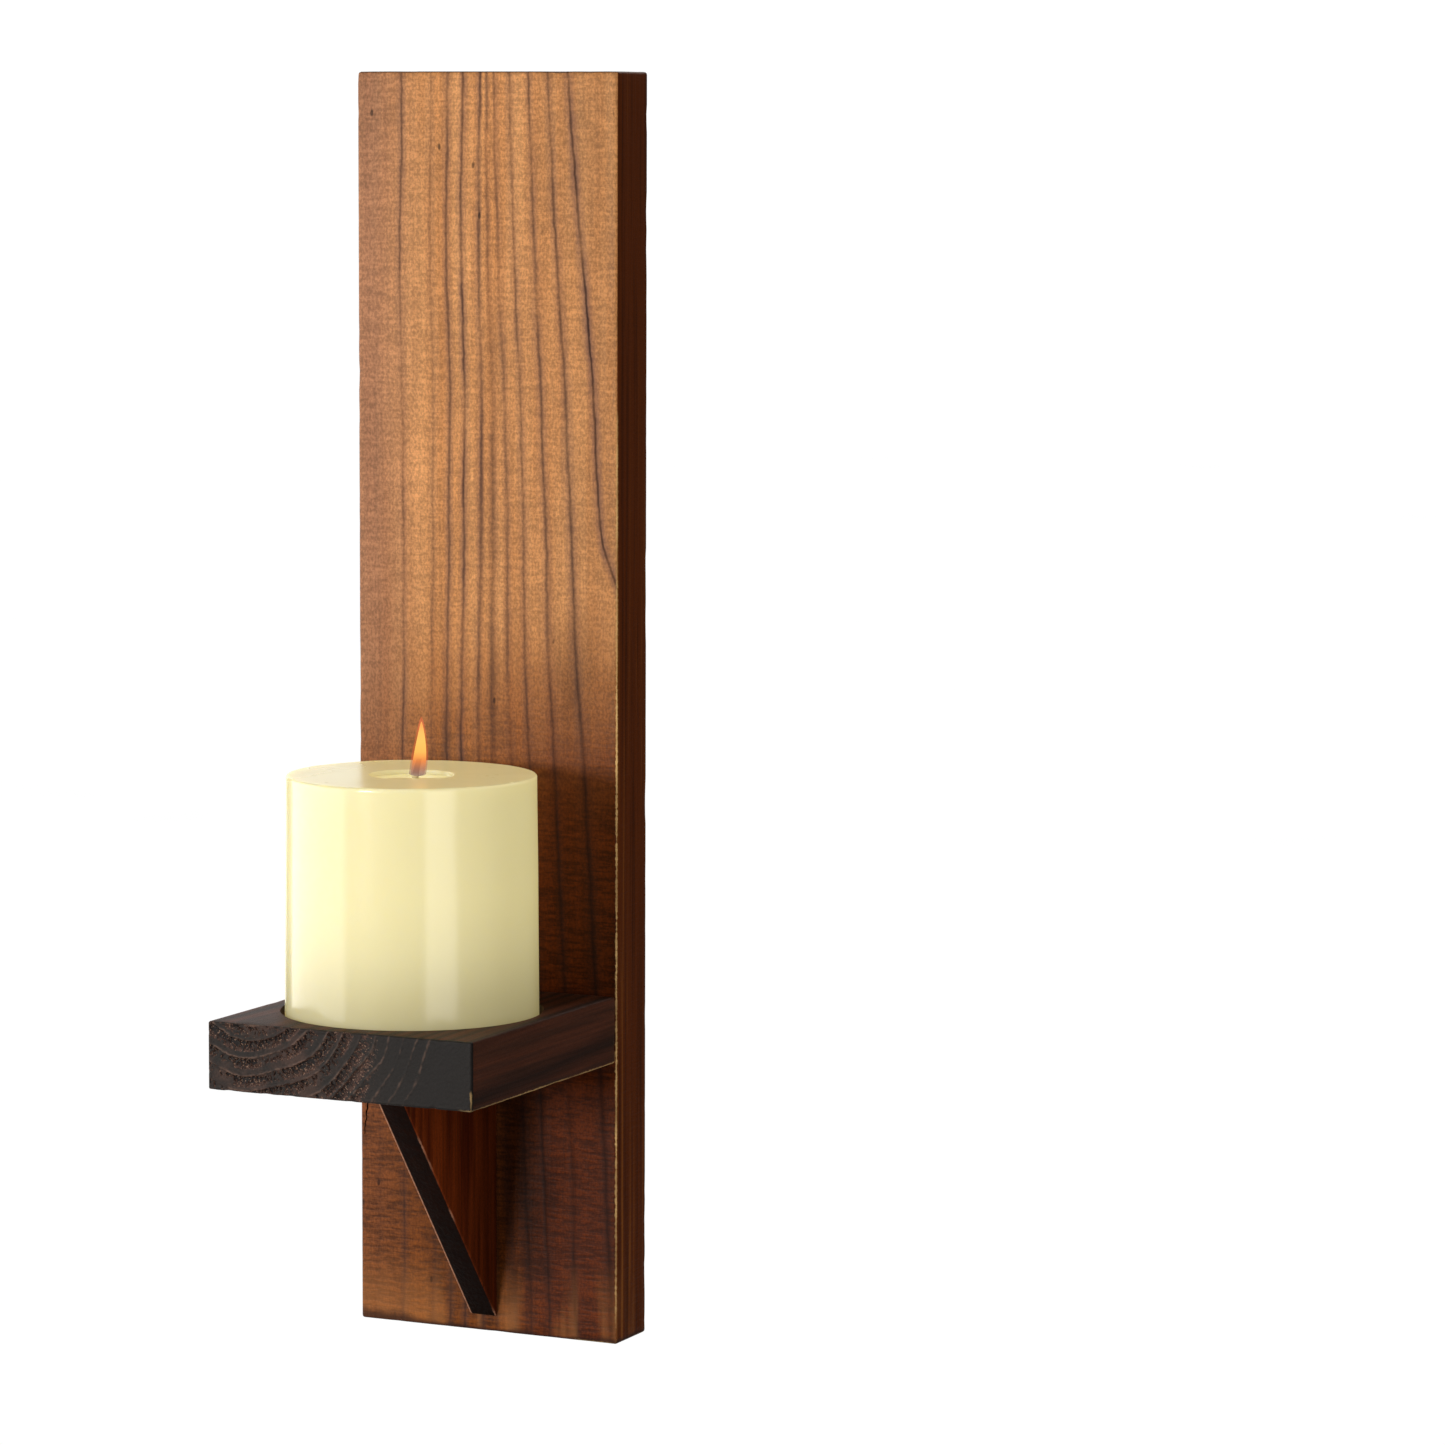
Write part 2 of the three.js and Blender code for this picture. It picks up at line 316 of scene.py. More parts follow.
def carve(piece, cutters):
    """Cuts each cutter's shape out of a piece and removes the cutter."""
    for cutter in cutters:
        apply_modifier(piece, "BOOLEAN", operation="DIFFERENCE", solver="EXACT", object=cutter)
        bpy.data.objects.remove(cutter)


def move_points(piece, shift):
    """Moves every vertex by what shift(place, normal) gives, and skips those that get None."""
    vertices = piece.data.vertices
    offsets = [shift(vertex.co.copy(), vertex.normal.copy()) for vertex in vertices]
    for vertex, offset in zip(vertices, offsets):
        if offset is not None:
            vertex.co += offset
    piece.data.update()


def edge_distance(place, low, high):
    """How far a point on a block's surface is from the block's nearest edge."""
    near = sorted(min(abs(place[i] - low[i]), abs(high[i] - place[i])) for i in range(3))
    return near[1]


def nick_edges(piece, box, reach, depth, size):
    """Dents the edges of a block a little, inwards, as handling does."""
    low, high = box

    def shift(place, normal):
        away = edge_distance(place, low, high)
        if away > reach:
            return None
        bite = max(0.0, noise.noise(place / size) - 0.12) * depth * (1 - away / reach)
        return -normal * bite

    move_points(piece, shift)


def smooth(piece, angle=35):
    """Shades a piece smooth but for its sharp edges."""
    make_active(piece)
    bpy.ops.object.shade_smooth_by_angle(angle=math.radians(angle))


def outward(piece):
    """Merges doubles and turns every face outwards."""
    edit(piece)
    bpy.ops.mesh.select_all(action="SELECT")
    bpy.ops.mesh.remove_doubles(threshold=0.001 * MM)
    bpy.ops.mesh.normals_make_consistent(inside=False)
    leave()


def finish_piece(piece, material, body, stands_for=()):
    """Gives a piece its material and body, and hides the imported nodes that it stands for."""
    piece.data.materials.clear()
    piece.data.materials.append(material)
    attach(piece, body)
    if stands_for:
        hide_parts(*stands_for)
    return piece


# ---------------------------------------------------------------- material helpers


class Tree:
    """Adds nodes to one node tree, and links whatever is given as another node's output.

    Masks run from 0 to 1. step() rises smoothly from 0 at low to 1 at high, and falls where low is the
    larger of the two. axes() gives X, Y and Z apart.
    """

    def __init__(self, tree):
        self.tree = tree
        tree.nodes.clear()

    def feed(self, socket, value):
        if isinstance(value, bpy.types.NodeSocket):
            self.tree.links.new(value, socket)
        elif socket.type == "RGBA" and len(value) == 3:
            socket.default_value = (*value, 1)
        else:
            socket.default_value = value

    def add(self, kind, inputs=(), **settings):
        node = self.tree.nodes.new(kind)
        for name, value in settings.items():
            setattr(node, name, value)
        for name, value in dict(inputs).items():
            self.feed(node.inputs[name], value)
        return node

    def maths(self, operation, *values):
        node = self.add("ShaderNodeMath", operation=operation)
        for socket, value in zip(node.inputs, values):
            self.feed(socket, value)
        return node.outputs[0]

    def times(self, first, second):
        return self.maths("MULTIPLY", first, second)

    def plus(self, first, second):
        return self.maths("ADD", first, second)

    def minus(self, first, second):
        return self.maths("SUBTRACT", first, second)

    def vector(self, operation, *values):
        node = self.add("ShaderNodeVectorMath", operation=operation)
        for socket, value in zip(node.inputs, values):
            self.feed(socket, value)
        return node.outputs[1 if operation in ("LENGTH", "DOT_PRODUCT") else 0]

    def noise(self, place, scale=1.0, detail=2.0, roughness=0.5):
        node = self.add("ShaderNodeTexNoise", {
            "Vector": place, "Scale": scale, "Detail": detail, "Roughness": roughness})
        return node.outputs[0]

    def stretched(self, place, scales, **settings):
        return self.noise(self.vector("MULTIPLY", place, scales), **settings)

    def times_plus(self, first, second, third):
        return self.maths("MULTIPLY_ADD", first, second, third)

    def step(self, value, low, high):
        node = self.add("ShaderNodeMapRange", {"Value": value, "From Min": low, "From Max": high},
                        interpolation_type="SMOOTHSTEP")
        return node.outputs[0]

    def mix(self, mask, first, second):
        node = self.add("ShaderNodeMix", data_type="RGBA")
        self.feed(node.inputs[0], mask)
        self.feed(node.inputs[6], first)
        self.feed(node.inputs[7], second)
        return node.outputs[2]

    def axes(self, vector):
        return self.add("ShaderNodeSeparateXYZ", {"Vector": vector}).outputs

    def ramp(self, value, stops):
        node = self.add("ShaderNodeValToRGB", {"Fac": value})
        points = node.color_ramp.elements
        while len(points) < len(stops):
            points.new(0.5)
        for point, (place, shade) in zip(points, stops):
            point.position = place
            point.color = (*shade[:3], 1)
        return node.outputs[0]

    def bands(self, place, low, high, lines, half_width):
        """A mask that rises to each line's strength and falls away within half_width."""
        share = self.maths("DIVIDE", self.minus(place, low), high - low)
        node = self.add("ShaderNodeFloatCurve", {"Value": share})
        points = node.mapping.curves[0].points
        points[0].location = (0, 0)
        points[1].location = (1, 0)
        centres = [low] + [centre for centre, _ in lines] + [high]
        for index, (centre, strength) in enumerate(lines):
            before = min(half_width, 0.48 * (centre - centres[index]))
            after = min(half_width, 0.48 * (centres[index + 2] - centre))
            for offset, height in ((-before, 0), (0, strength), (after, 0)):
                points.new((centre + offset - low) / (high - low), height)
        for point in points:
            point.handle_type = "VECTOR"
        node.mapping.update()
        return node.outputs[0]


def new_group(name, inputs, outputs):
    """A shader node group with named sockets. Returns its tree, its inputs and its output node."""
    tree = bpy.data.node_groups.new(name, "ShaderNodeTree")
    for socket, kind in inputs:
        tree.interface.new_socket(socket, in_out="INPUT", socket_type=kind)
    for socket, kind in outputs:
        tree.interface.new_socket(socket, in_out="OUTPUT", socket_type=kind)
    nodes = Tree(tree)
    given = nodes.add("NodeGroupInput").outputs
    result = nodes.add("NodeGroupOutput")
    return tree, nodes, given, result


FLOAT, VECTOR = "NodeSocketFloat", "NodeSocketVector"


def box_edge_group():
    """How far a point on a block is from the block's nearest edge."""
    tree, nodes, given, result = new_group(
        "Edge distance", [("Place", VECTOR), ("Low", VECTOR), ("High", VECTOR)], [("Distance", FLOAT)])
    above = nodes.vector("ABSOLUTE", nodes.vector("SUBTRACT", given["Place"], given["Low"]))
    below = nodes.vector("ABSOLUTE", nodes.vector("SUBTRACT", given["High"], given["Place"]))
    x, y, z = nodes.axes(nodes.vector("MINIMUM", above, below))
    low_pair = nodes.maths("MINIMUM", x, y)
    high_pair = nodes.maths("MAXIMUM", x, y)
    second = nodes.maths("MAXIMUM", low_pair, nodes.maths("MINIMUM", high_pair, z))
    nodes.feed(result.inputs["Distance"], second)
    return tree


def worn_edge_group():
    """A broken strip along an edge, where handling has rubbed the stain away."""
    tree, nodes, given, result = new_group(
        "Worn edge",
        [("Place", VECTOR), ("Distance", FLOAT), ("Width", FLOAT), ("Amount", FLOAT)],
        [("Mask", FLOAT)])
    coarse = nodes.noise(given["Place"], scale=55, detail=3)
    fine = nodes.noise(given["Place"], scale=900, detail=2)
    reach = nodes.times(given["Width"], nodes.plus(0.25, nodes.times(fine, 1.4)))
    strip = nodes.minus(1, nodes.step(given["Distance"], nodes.times(reach, 0.45), reach))
    broken = nodes.step(coarse, nodes.minus(0.78, nodes.times(given["Amount"], 0.5)), 0.8)
    nodes.feed(result.inputs["Mask"], nodes.times(strip, broken))
    return tree


def grain_group():
    """Timber grain whose fibres run along the third component of Place."""
    tree, nodes, given, result = new_group(
        "Timber grain", [("Place", VECTOR)],
        [("Streak", FLOAT), ("Fibre", FLOAT), ("Saw mark", FLOAT), ("Speckle", FLOAT)])
    place = given["Place"]
    streak = nodes.stretched(place, (150, 150, 5), detail=4, roughness=0.6)
    fibre = nodes.stretched(place, (1000, 1000, 28), detail=3, roughness=0.6)
    saw = nodes.stretched(place, (170, 170, 1050), detail=3, roughness=0.6)
    speckle = nodes.stretched(place, (1500, 1500, 1000), detail=2, roughness=0.6)
    nodes.feed(result.inputs["Streak"], nodes.step(streak, 0.3, 0.7))
    nodes.feed(result.inputs["Fibre"], nodes.step(fibre, 0.33, 0.67))
    nodes.feed(result.inputs["Saw mark"], nodes.step(saw, 0.36, 0.64))
    nodes.feed(result.inputs["Speckle"], nodes.step(speckle, 0.36, 0.64))
    return tree


def brushed_group():
    """Fine scratches and dull patches on plated metal."""
    tree, nodes, given, result = new_group(
        "Plated metal", [("Place", VECTOR)], [("Scratch", FLOAT), ("Patch", FLOAT)])
    scratch = nodes.stretched(given["Place"], (300, 2500, 2500), detail=3, roughness=0.6)
    patch = nodes.noise(given["Place"], scale=180, detail=3)
    nodes.feed(result.inputs["Scratch"], nodes.step(scratch, 0.35, 0.7))
    nodes.feed(result.inputs["Patch"], nodes.step(patch, 0.3, 0.75))
    return tree


GROUPS = {}


def shared_groups():
    """Builds the shared effects once."""
    if not GROUPS:
        GROUPS.update(
            edge=box_edge_group(), worn=worn_edge_group(), grain=grain_group(), metal=brushed_group())
    return GROUPS


def place_group(nodes, key, inputs):
    """Places one of the shared effects and returns its outputs."""
    node = nodes.add("ShaderNodeGroup")
    node.node_tree = shared_groups()[key]
    for name, value in inputs.items():
        nodes.feed(node.inputs[name], value)
    return node.outputs


def new_material(name):
    """An empty material, its tree, and the piece's own coordinates and normal."""
    material = bpy.data.materials.new(name)
    material.use_nodes = True
    nodes = Tree(material.node_tree)
    texture = nodes.add("ShaderNodeTexCoord").outputs
    return material, nodes, texture["Object"], texture["Normal"]


def principled(nodes, inputs, height=None, relief=0.0):
    """The surface shader, with a bump where a height is given. Returns the shader node."""
    shader = nodes.add("ShaderNodeBsdfPrincipled", inputs)
    if height is not None:
        bump = nodes.add("ShaderNodeBump", {"Height": height, "Distance": relief, "Strength": 1.0})
        nodes.feed(shader.inputs["Normal"], bump.outputs[0])
    output = nodes.add("ShaderNodeOutputMaterial")
    nodes.feed(output.inputs["Surface"], shader.outputs[0])
    return shader


def laid_over(nodes, shade, mask, strength, cover):
    """A colour with another laid over it, by up to strength where the mask is 1."""
    return nodes.mix(nodes.times(mask, strength), shade, cover)


def darker(nodes, shade, mask, strength):
    """A colour multiplied down by up to strength where the mask is 1."""
    keep = nodes.minus(1, nodes.times(mask, strength))
    return scale_colour(nodes, shade, keep)


def mottle(nodes, shade, mask, strength):
    """A colour made lighter where the mask is 1 and darker where it is 0, by up to strength."""
    swing = nodes.times(nodes.minus(mask, 0.5), 2 * strength)
    return scale_colour(nodes, shade, nodes.plus(1, swing))


def scale_colour(nodes, shade, keep):
    """A colour times a number."""
    node = nodes.add("ShaderNodeVectorMath", operation="SCALE")
    nodes.feed(node.inputs[0], shade)
    nodes.feed(node.inputs["Scale"], keep)
    return node.outputs[0]


def faces_along(nodes, normal, axis):
    """A mask that is 1 on faces square to an axis, whichever way they face."""
    return nodes.step(nodes.maths("ABSOLUTE", nodes.axes(normal)[axis]), 0.6, 0.8)


# ---------------------------------------------------------------- wood materials


def ring_place(nodes, place):
    """Where a point of the board would be met at the board's top end, following its growth ring.

    The rings stand upright at the left, lean to the right past the middle, and lean more the further
    right they start. Gives the swayed X too, and the share of the board's height above the point.
    """
    low, high = BOARD
    x, y, z = nodes.axes(place)
    fall = nodes.maths("DIVIDE", nodes.minus(high.z, z), high.z - low.z)
    sway = nodes.minus(nodes.stretched(place, (22, 22, 14), detail=2), 0.5)
    ragged = nodes.minus(nodes.stretched(place, (500, 500, 260), detail=2), 0.5)
    start_x = nodes.plus(x, nodes.times(nodes.minus(y, low.y), 0.55))
    start_x = nodes.times_plus(sway, 4.5 * MM, start_x)
    start_x = nodes.times_plus(ragged, 0.9 * MM, start_x)
    found = start_x
    for _ in range(4):
        leaning = nodes.times(nodes.step(found, -3 * MM, 3 * MM), 13 * MM)
        past = nodes.maths("MAXIMUM", nodes.maths("DIVIDE", nodes.minus(found, 3 * MM), 25 * MM), 0)
        lean = nodes.times_plus(nodes.maths("POWER", past, 2), 19 * MM, leaning)
        better = nodes.minus(start_x, nodes.times(lean, fall))
        found = nodes.times(nodes.plus(found, better), 0.5)
    return start_x, found, fall


def edge_ring_distance(nodes, start_x, fall):
    """How far a point of the board is from the ring that runs out at the right edge."""
    hook = nodes.times(nodes.step(fall, 0.35, 0.45), EDGE_RING_HOOK)
    ring_x = nodes.times_plus(fall, EDGE_RING_LEAN, nodes.plus(hook, EDGE_RING_START))
    return nodes.maths("ABSOLUTE", nodes.minus(start_x, ring_x))


def split_shade_mask(nodes, place):
    """A mask of painted shade, 1 inside the short split by the board's left edge."""
    x, y, z = nodes.axes(place)
    low = BOARD[0]
    inside = nodes.times(nodes.step(y, low.y + 0.1 * MM, low.y + 0.5 * MM),
                         nodes.step(x, low.x + 0.1 * MM, low.x + 0.3 * MM))
    inside = nodes.times(inside, nodes.step(y, low.y + 6 * MM, low.y + 5 * MM))
    nearby = nodes.times(nodes.step(x, low.x + 6 * MM, low.x + 5 * MM),
                         nodes.step(z, SPLIT_FOOT - 2 * MM, SPLIT_FOOT))
    inside = nodes.times(inside, nearby)
    return nodes.times(inside, nodes.step(z, SHELF[0].z, SHELF[0].z - 1 * MM))


def board_rings(nodes, start_x, ring, fall):
    """Masks of the board's dark rings: their core, and the smoky halo beside it."""
    low, high = BOARD
    lines = [(middle(BOARD).x + ring_x * MM, strength) for ring_x, strength in BOARD_RINGS]
    core = nodes.bands(ring, low.x, high.x, lines, 0.65 * MM)
    halo = nodes.bands(ring, low.x, high.x, lines, 2.2 * MM)
    edge_ring = edge_ring_distance(nodes, start_x, fall)
    core = nodes.maths("MAXIMUM", core, nodes.step(edge_ring, 0.7 * MM, 0))
    halo = nodes.maths("MAXIMUM", halo, nodes.step(edge_ring, 3.2 * MM, 0))
    return core, halo


def board_front(nodes, wood, place, grain, core, halo, fall):
    """The colour of the board's front, and the share of its width to the left of a point."""
    low, high = BOARD
    uneven = nodes.step(nodes.stretched(place, (90, 90, 22), detail=3, roughness=0.6), 0.3, 0.62)
    patchy = nodes.noise(place, scale=26, detail=3)
    shade = nodes.mix(nodes.times_plus(grain["Streak"], 0.5, 0.25), wood.light_wood, wood.mid_wood)
    # Painted shade in part: the board darkens towards its lower end, as deeper stain and as painted shade of
    # the lower board
    stain_and_shade_reach = nodes.plus(fall, nodes.times(nodes.minus(patchy, 0.5), 0.2))
    deep_stain_and_shade = nodes.step(stain_and_shade_reach, 0.38, 0.64)
    shade = nodes.mix(deep_stain_and_shade, shade, wood.deep_wood_and_shade)
    across = nodes.maths("DIVIDE", nodes.minus(nodes.axes(place)[0], low.x), high.x - low.x)
    smoky_side = nodes.times(nodes.step(across, 0.3, 0.02), nodes.times_plus(deep_stain_and_shade, -0.4, 0.55))
    shade = nodes.mix(smoky_side, shade, scale_colour(nodes, wood.smoky_wood, 1.25))
    shade = mottle(nodes, shade, nodes.step(patchy, 0.3, 0.7), 0.08)
    shade = mottle(nodes, shade, grain["Saw mark"], 0.12)
    shade = darker(nodes, shade, nodes.times(grain["Saw mark"], deep_stain_and_shade), 0.62)
    shade = mottle(nodes, shade, grain["Speckle"], 0.2)
    shade = mottle(nodes, shade, grain["Fibre"], 0.08)
    smoke = nodes.times(nodes.maths("POWER", halo, 1.2), nodes.times_plus(uneven, 0.4, 0.4))
    smoke_shade = scale_colour(nodes, wood.smoky_wood, nodes.times_plus(deep_stain_and_shade, -0.6, 1))
    shade = nodes.mix(smoke, shade, smoke_shade)
    shade = nodes.mix(nodes.times(core, nodes.times_plus(uneven, 0.6, 0.32)), shade, wood.char)
    smudge = nodes.step(nodes.stretched(place, (48, 48, 9), detail=3), 0.5, 0.72)
    shade = darker(nodes, shade, nodes.times(smudge, deep_stain_and_shade), 0.68)
    shade = darker(nodes, shade, nodes.step(across, 0.55, 1.0), 0.14)
    # Painted shadow: from just above the candle's top down, the right half of the board is multiplied darker
    # and redder where the candle and brace cast their shadows
    torched = nodes.times(nodes.step(across, 0.38, 0.78), nodes.step(fall, 0.44, 0.58))
    shade = nodes.mix(torched, shade, nodes.vector("MULTIPLY", shade, (0.6, 0.4, 0.28)))
    spots = nodes.add("ShaderNodeTexVoronoi", {
        "Vector": nodes.vector("MULTIPLY", place, (150, 150, 70)), "Scale": 1.0}).outputs["Distance"]
    rare = nodes.step(nodes.noise(place, scale=34, detail=1), 0.56, 0.6)
    shade = darker(nodes, shade, nodes.times(nodes.step(spots, 0.1, 0.05), rare), 0.7)
    return shade, across


def board_side(nodes, wood, place, fall):
    """The colour of the board's long narrow sides."""
    side_streak = nodes.stretched(place, (60, 520, 7), detail=4, roughness=0.65)
    dark_streak = nodes.step(side_streak, 0.5, 0.34)
    side_shade = nodes.mix(dark_streak, wood.side_wood, scale_colour(nodes, wood.side_wood, 0.5))
    bright = nodes.times(nodes.step(side_streak, 0.55, 0.7), nodes.times_plus(fall, 0.6, 0.15))
    return nodes.mix(bright, side_shade, stain(156, 92, 34))


def board_ends(nodes, wood, place, shade, across, fall):
    """The colour given, with the singed ends, the lighter foot, painted shadow beside the brace and painted
    shade in the split.
    """
    low, high = BOARD
    near_end = nodes.maths("MINIMUM", nodes.minus(high.z, nodes.axes(place)[2]),
                           nodes.minus(nodes.axes(place)[2], low.z))
    lower_corner = nodes.times(nodes.step(across, 0.35, 0.0), nodes.step(fall, 0.9, 1.0))
    singe_reach = nodes.times(nodes.noise(place, scale=90, detail=3),
                              nodes.times_plus(lower_corner, 7 * MM, nodes.times(fall, 4 * MM)))
    singe = nodes.step(near_end, singe_reach, nodes.times(singe_reach, 0.2))
    foot_streak = nodes.step(nodes.stretched(place, (120, 120, 12), detail=3), 0.4, 0.62)
    foot_glow = nodes.times(nodes.step(fall, 0.93, 1.0), foot_streak)
    shade = laid_over(nodes, shade, foot_glow, 0.42, wood.mid_wood)
    # Painted shadow: a strip right of the brace, under the shelf, is darkened where the brace casts its
    # shadow on the board
    brace_shadow_strip = nodes.times(nodes.step(nodes.axes(place)[0], BRACE[1].x - 2 * MM, BRACE[1].x + 5 * MM),
                               nodes.step(nodes.axes(place)[0], BRACE[1].x + 26 * MM, BRACE[1].x + 8 * MM))
    under_shelf = nodes.times(nodes.step(fall, 0.74, 0.8), nodes.step(fall, 1.0, 0.88))
    shade = darker(nodes, shade, nodes.times(brace_shadow_strip, under_shelf), 0.62)
    # Painted shade: the inside of the split is laid over with the char colour
    shade = nodes.mix(split_shade_mask(nodes, place), shade, wood.char)
    shade = laid_over(nodes, shade, singe, 0.8, wood.char)
    return shade


def board_wear(nodes, wood, place, across, fall):
    """A mask of the board's rubbed edges: most on the right, a little below half way."""
    low, high = BOARD
    edge = place_group(nodes, "edge", {"Place": place, "Low": low, "High": high})["Distance"]
    handled = nodes.step(nodes.maths("ABSOLUTE", nodes.minus(fall, 0.62)), 0.5, 0.2)
    amount = nodes.times(nodes.step(across, 0.5, 0.95), nodes.times_plus(handled, 1.0, 0.35))
    return place_group(nodes, "worn", {
        "Place": place, "Distance": edge, "Width": wood.wear_width, "Amount": amount})["Mask"]


def board_material(wood):
    """The board: orange-brown early wood, dark torched rings, dark sides and charred ends."""
    material, nodes, place, normal = new_material("torched_board")
    grain = place_group(nodes, "grain", {"Place": place})
    start_x, ring, fall = ring_place(nodes, place)
    core, halo = board_rings(nodes, start_x, ring, fall)
    shade, across = board_front(nodes, wood, place, grain, core, halo, fall)
    side = faces_along(nodes, normal, 0)
    shade = nodes.mix(side, shade, board_side(nodes, wood, place, fall))
    shade = laid_over(nodes, shade, faces_along(nodes, normal, 2), 0.85, wood.char)
    shade = board_ends(nodes, wood, place, shade, across, fall)
    shade = nodes.mix(board_wear(nodes, wood, place, across, fall), shade, wood.pale_wood)

    roughness = nodes.plus(0.42, nodes.times(core, 0.2))
    roughness = nodes.plus(roughness, nodes.times(grain["Fibre"], 0.1))
    height = nodes.minus(nodes.times(grain["Fibre"], 0.3), nodes.times(core, 0.8))
    height = nodes.minus(height, nodes.times(grain["Saw mark"], 0.4))
    principled(nodes, {
        "Base Color": shade, "Roughness": roughness, "Specular IOR Level": 0.12}, height, 0.12 * MM)
    return material


def heart_distance(nodes, place):
    """Distance from the heart of the tree that the shelf was sawn from, in the X-Z plane."""
    x, y, z = nodes.axes(place)
    heart_x, heart_z = shelf_heart()
    rise = nodes.times(nodes.minus(y, SHELF[0].y), 0.05)
    across = nodes.minus(x, heart_x)
    up = nodes.minus(nodes.minus(z, rise), heart_z)
    flat = nodes.add("ShaderNodeCombineXYZ", {"X": across, "Y": up}).outputs[0]
    sway = nodes.minus(nodes.stretched(place, (45, 8, 45), detail=2), 0.5)
    return nodes.plus(nodes.vector("LENGTH", flat), nodes.times(sway, 3 * MM))


def shelf_heart():
    """Where the heart of the tree would be: to the left, a little above the shelf's top."""
    return middle(SHELF).x - 30 * MM, SHELF[1].z + 15 * MM


def shelf_x(share):
    """The X at a share of the shelf's width, from its left side."""
    low, high = SHELF
    return low.x + share * (high.x - low.x)


def end_grain_shade(nodes, wood, place, x):
    """The scorched end grain, darker to the right: pale ridges, and dark torn strokes with flecks.

    Gives the colour and the grit that roughens it.
    """
    ridge = nodes.add("ShaderNodeAttribute", attribute_name="ridge", attribute_type="GEOMETRY").outputs["Fac"]
    pit = nodes.add("ShaderNodeAttribute", attribute_name="pit", attribute_type="GEOMETRY").outputs["Fac"]
    patch = nodes.noise(place, scale=110, detail=4, roughness=0.65)
    grit = nodes.noise(place, scale=1800, detail=3, roughness=0.7)
    browner = nodes.times(nodes.step(patch, 0.4, 0.65), nodes.step(x, shelf_x(0.7), shelf_x(0.3)))
    scorched = laid_over(nodes, wood.end_grain, browner, 0.7, stain(70, 50, 42))
    scorched = laid_over(nodes, scorched, ridge, 0.42, stain(136, 106, 90))
    scorched = laid_over(nodes, scorched, nodes.step(pit, 0.02, 0.3), 0.6, stain(86, 56, 44))
    scorched = laid_over(nodes, scorched, nodes.step(pit, 0.25, 0.75), 0.95, stain(8, 5, 5))
    torn = nodes.step(pit, 0.0, 0.12)
    dots = nodes.step(nodes.noise(place, scale=2300, detail=1), 0.56, 0.64)
    flecks = nodes.step(nodes.noise(nodes.vector("ADD", place, (1, 0, 0)), scale=2000, detail=1), 0.6, 0.68)
    scorched = laid_over(nodes, scorched, nodes.times(dots, torn), 0.85, stain(8, 5, 5))
    scorched = laid_over(nodes, scorched, nodes.times(flecks, torn), 0.5, stain(160, 126, 104))
    scorched = mottle(nodes, scorched, nodes.step(grit, 0.35, 0.65), 0.2)
    scorched = darker(nodes, scorched, nodes.step(x, shelf_x(0.5), shelf_x(0.85)), 0.38)
    return scorched, grit


def shelf_material(wood):
    """The shelf: scorched end grain in front, dark streaked sides and top."""
    low, high = SHELF
    material, nodes, place, _ = new_material("torched_shelf")
    x, y, z = nodes.axes(place)
    along = nodes.add("ShaderNodeCombineXYZ", {"X": x, "Y": z, "Z": y}).outputs[0]
    grain = place_group(nodes, "grain", {"Place": along})
    radius = heart_distance(nodes, place)
    lines = [(ring * MM, 1.0) for ring in SHELF_RINGS]
    band = nodes.bands(radius, 5 * MM, 95 * MM, lines, 2.0 * MM)

    lit = nodes.ramp(grain["Streak"], [
        (0.0, stain(64, 36, 22)), (0.6, stain(88, 46, 28)), (1.0, stain(54, 32, 22))])
    long_face = laid_over(nodes, lit, band, 0.85, stain(28, 19, 14))
    long_face = mottle(nodes, long_face, grain["Fibre"], 0.16)
    long_face = mottle(nodes, long_face, grain["Speckle"], 0.12)

    scorched, grit = end_grain_shade(nodes, wood, place, x)
    in_front = nodes.step(y, low.y + 1.4 * MM, low.y + 1.0 * MM)
    shade = nodes.mix(in_front, long_face, scorched)

    edge = place_group(nodes, "edge", {"Place": place, "Low": low, "High": high})["Distance"]
    right_low = nodes.times(nodes.step(x, shelf_x(0.9), high.x),
                            nodes.step(z, high.z - 12 * MM, low.z + 4 * MM))
    amount = nodes.plus(0.28, nodes.times(right_low, 1.0))
    worn = place_group(nodes, "worn", {
        "Place": place, "Distance": edge, "Width": wood.wear_width, "Amount": amount})["Mask"]
    shade = laid_over(nodes, shade, worn, 0.9, wood.pale_wood)

    roughness = nodes.plus(0.46, nodes.times(grit, 0.25))
    height = nodes.plus(nodes.times(grit, 0.5), nodes.times(grain["Fibre"], 0.3))
    principled(nodes, {
        "Base Color": shade, "Roughness": roughness, "Specular IOR Level": 0.18}, height, 0.18 * MM)
    return material


def brace_slope():
    """A point on the brace's sloping face and the way that the face looks."""
    low, high = BRACE
    tip_flat = 1 * MM
    return Vector((0, low.y, high.z - tip_flat)), Vector((0, low.z - high.z, low.y - high.y)).normalized()


def brace_edge_distance(nodes, place):
    """How far a point of the brace is from its long sloping edges, and from its sloping face."""
    low, high = BRACE
    x = nodes.axes(place)[0]
    side = nodes.maths("MINIMUM", nodes.minus(x, low.x), nodes.minus(high.x, x))
    point, facing = brace_slope()
    inward = nodes.vector("SUBTRACT", point, place)
    off_slope = nodes.maths("ABSOLUTE", nodes.vector("DOT_PRODUCT", inward, facing))
    return nodes.maths("MAXIMUM", nodes.maths("ABSOLUTE", side), off_slope), off_slope


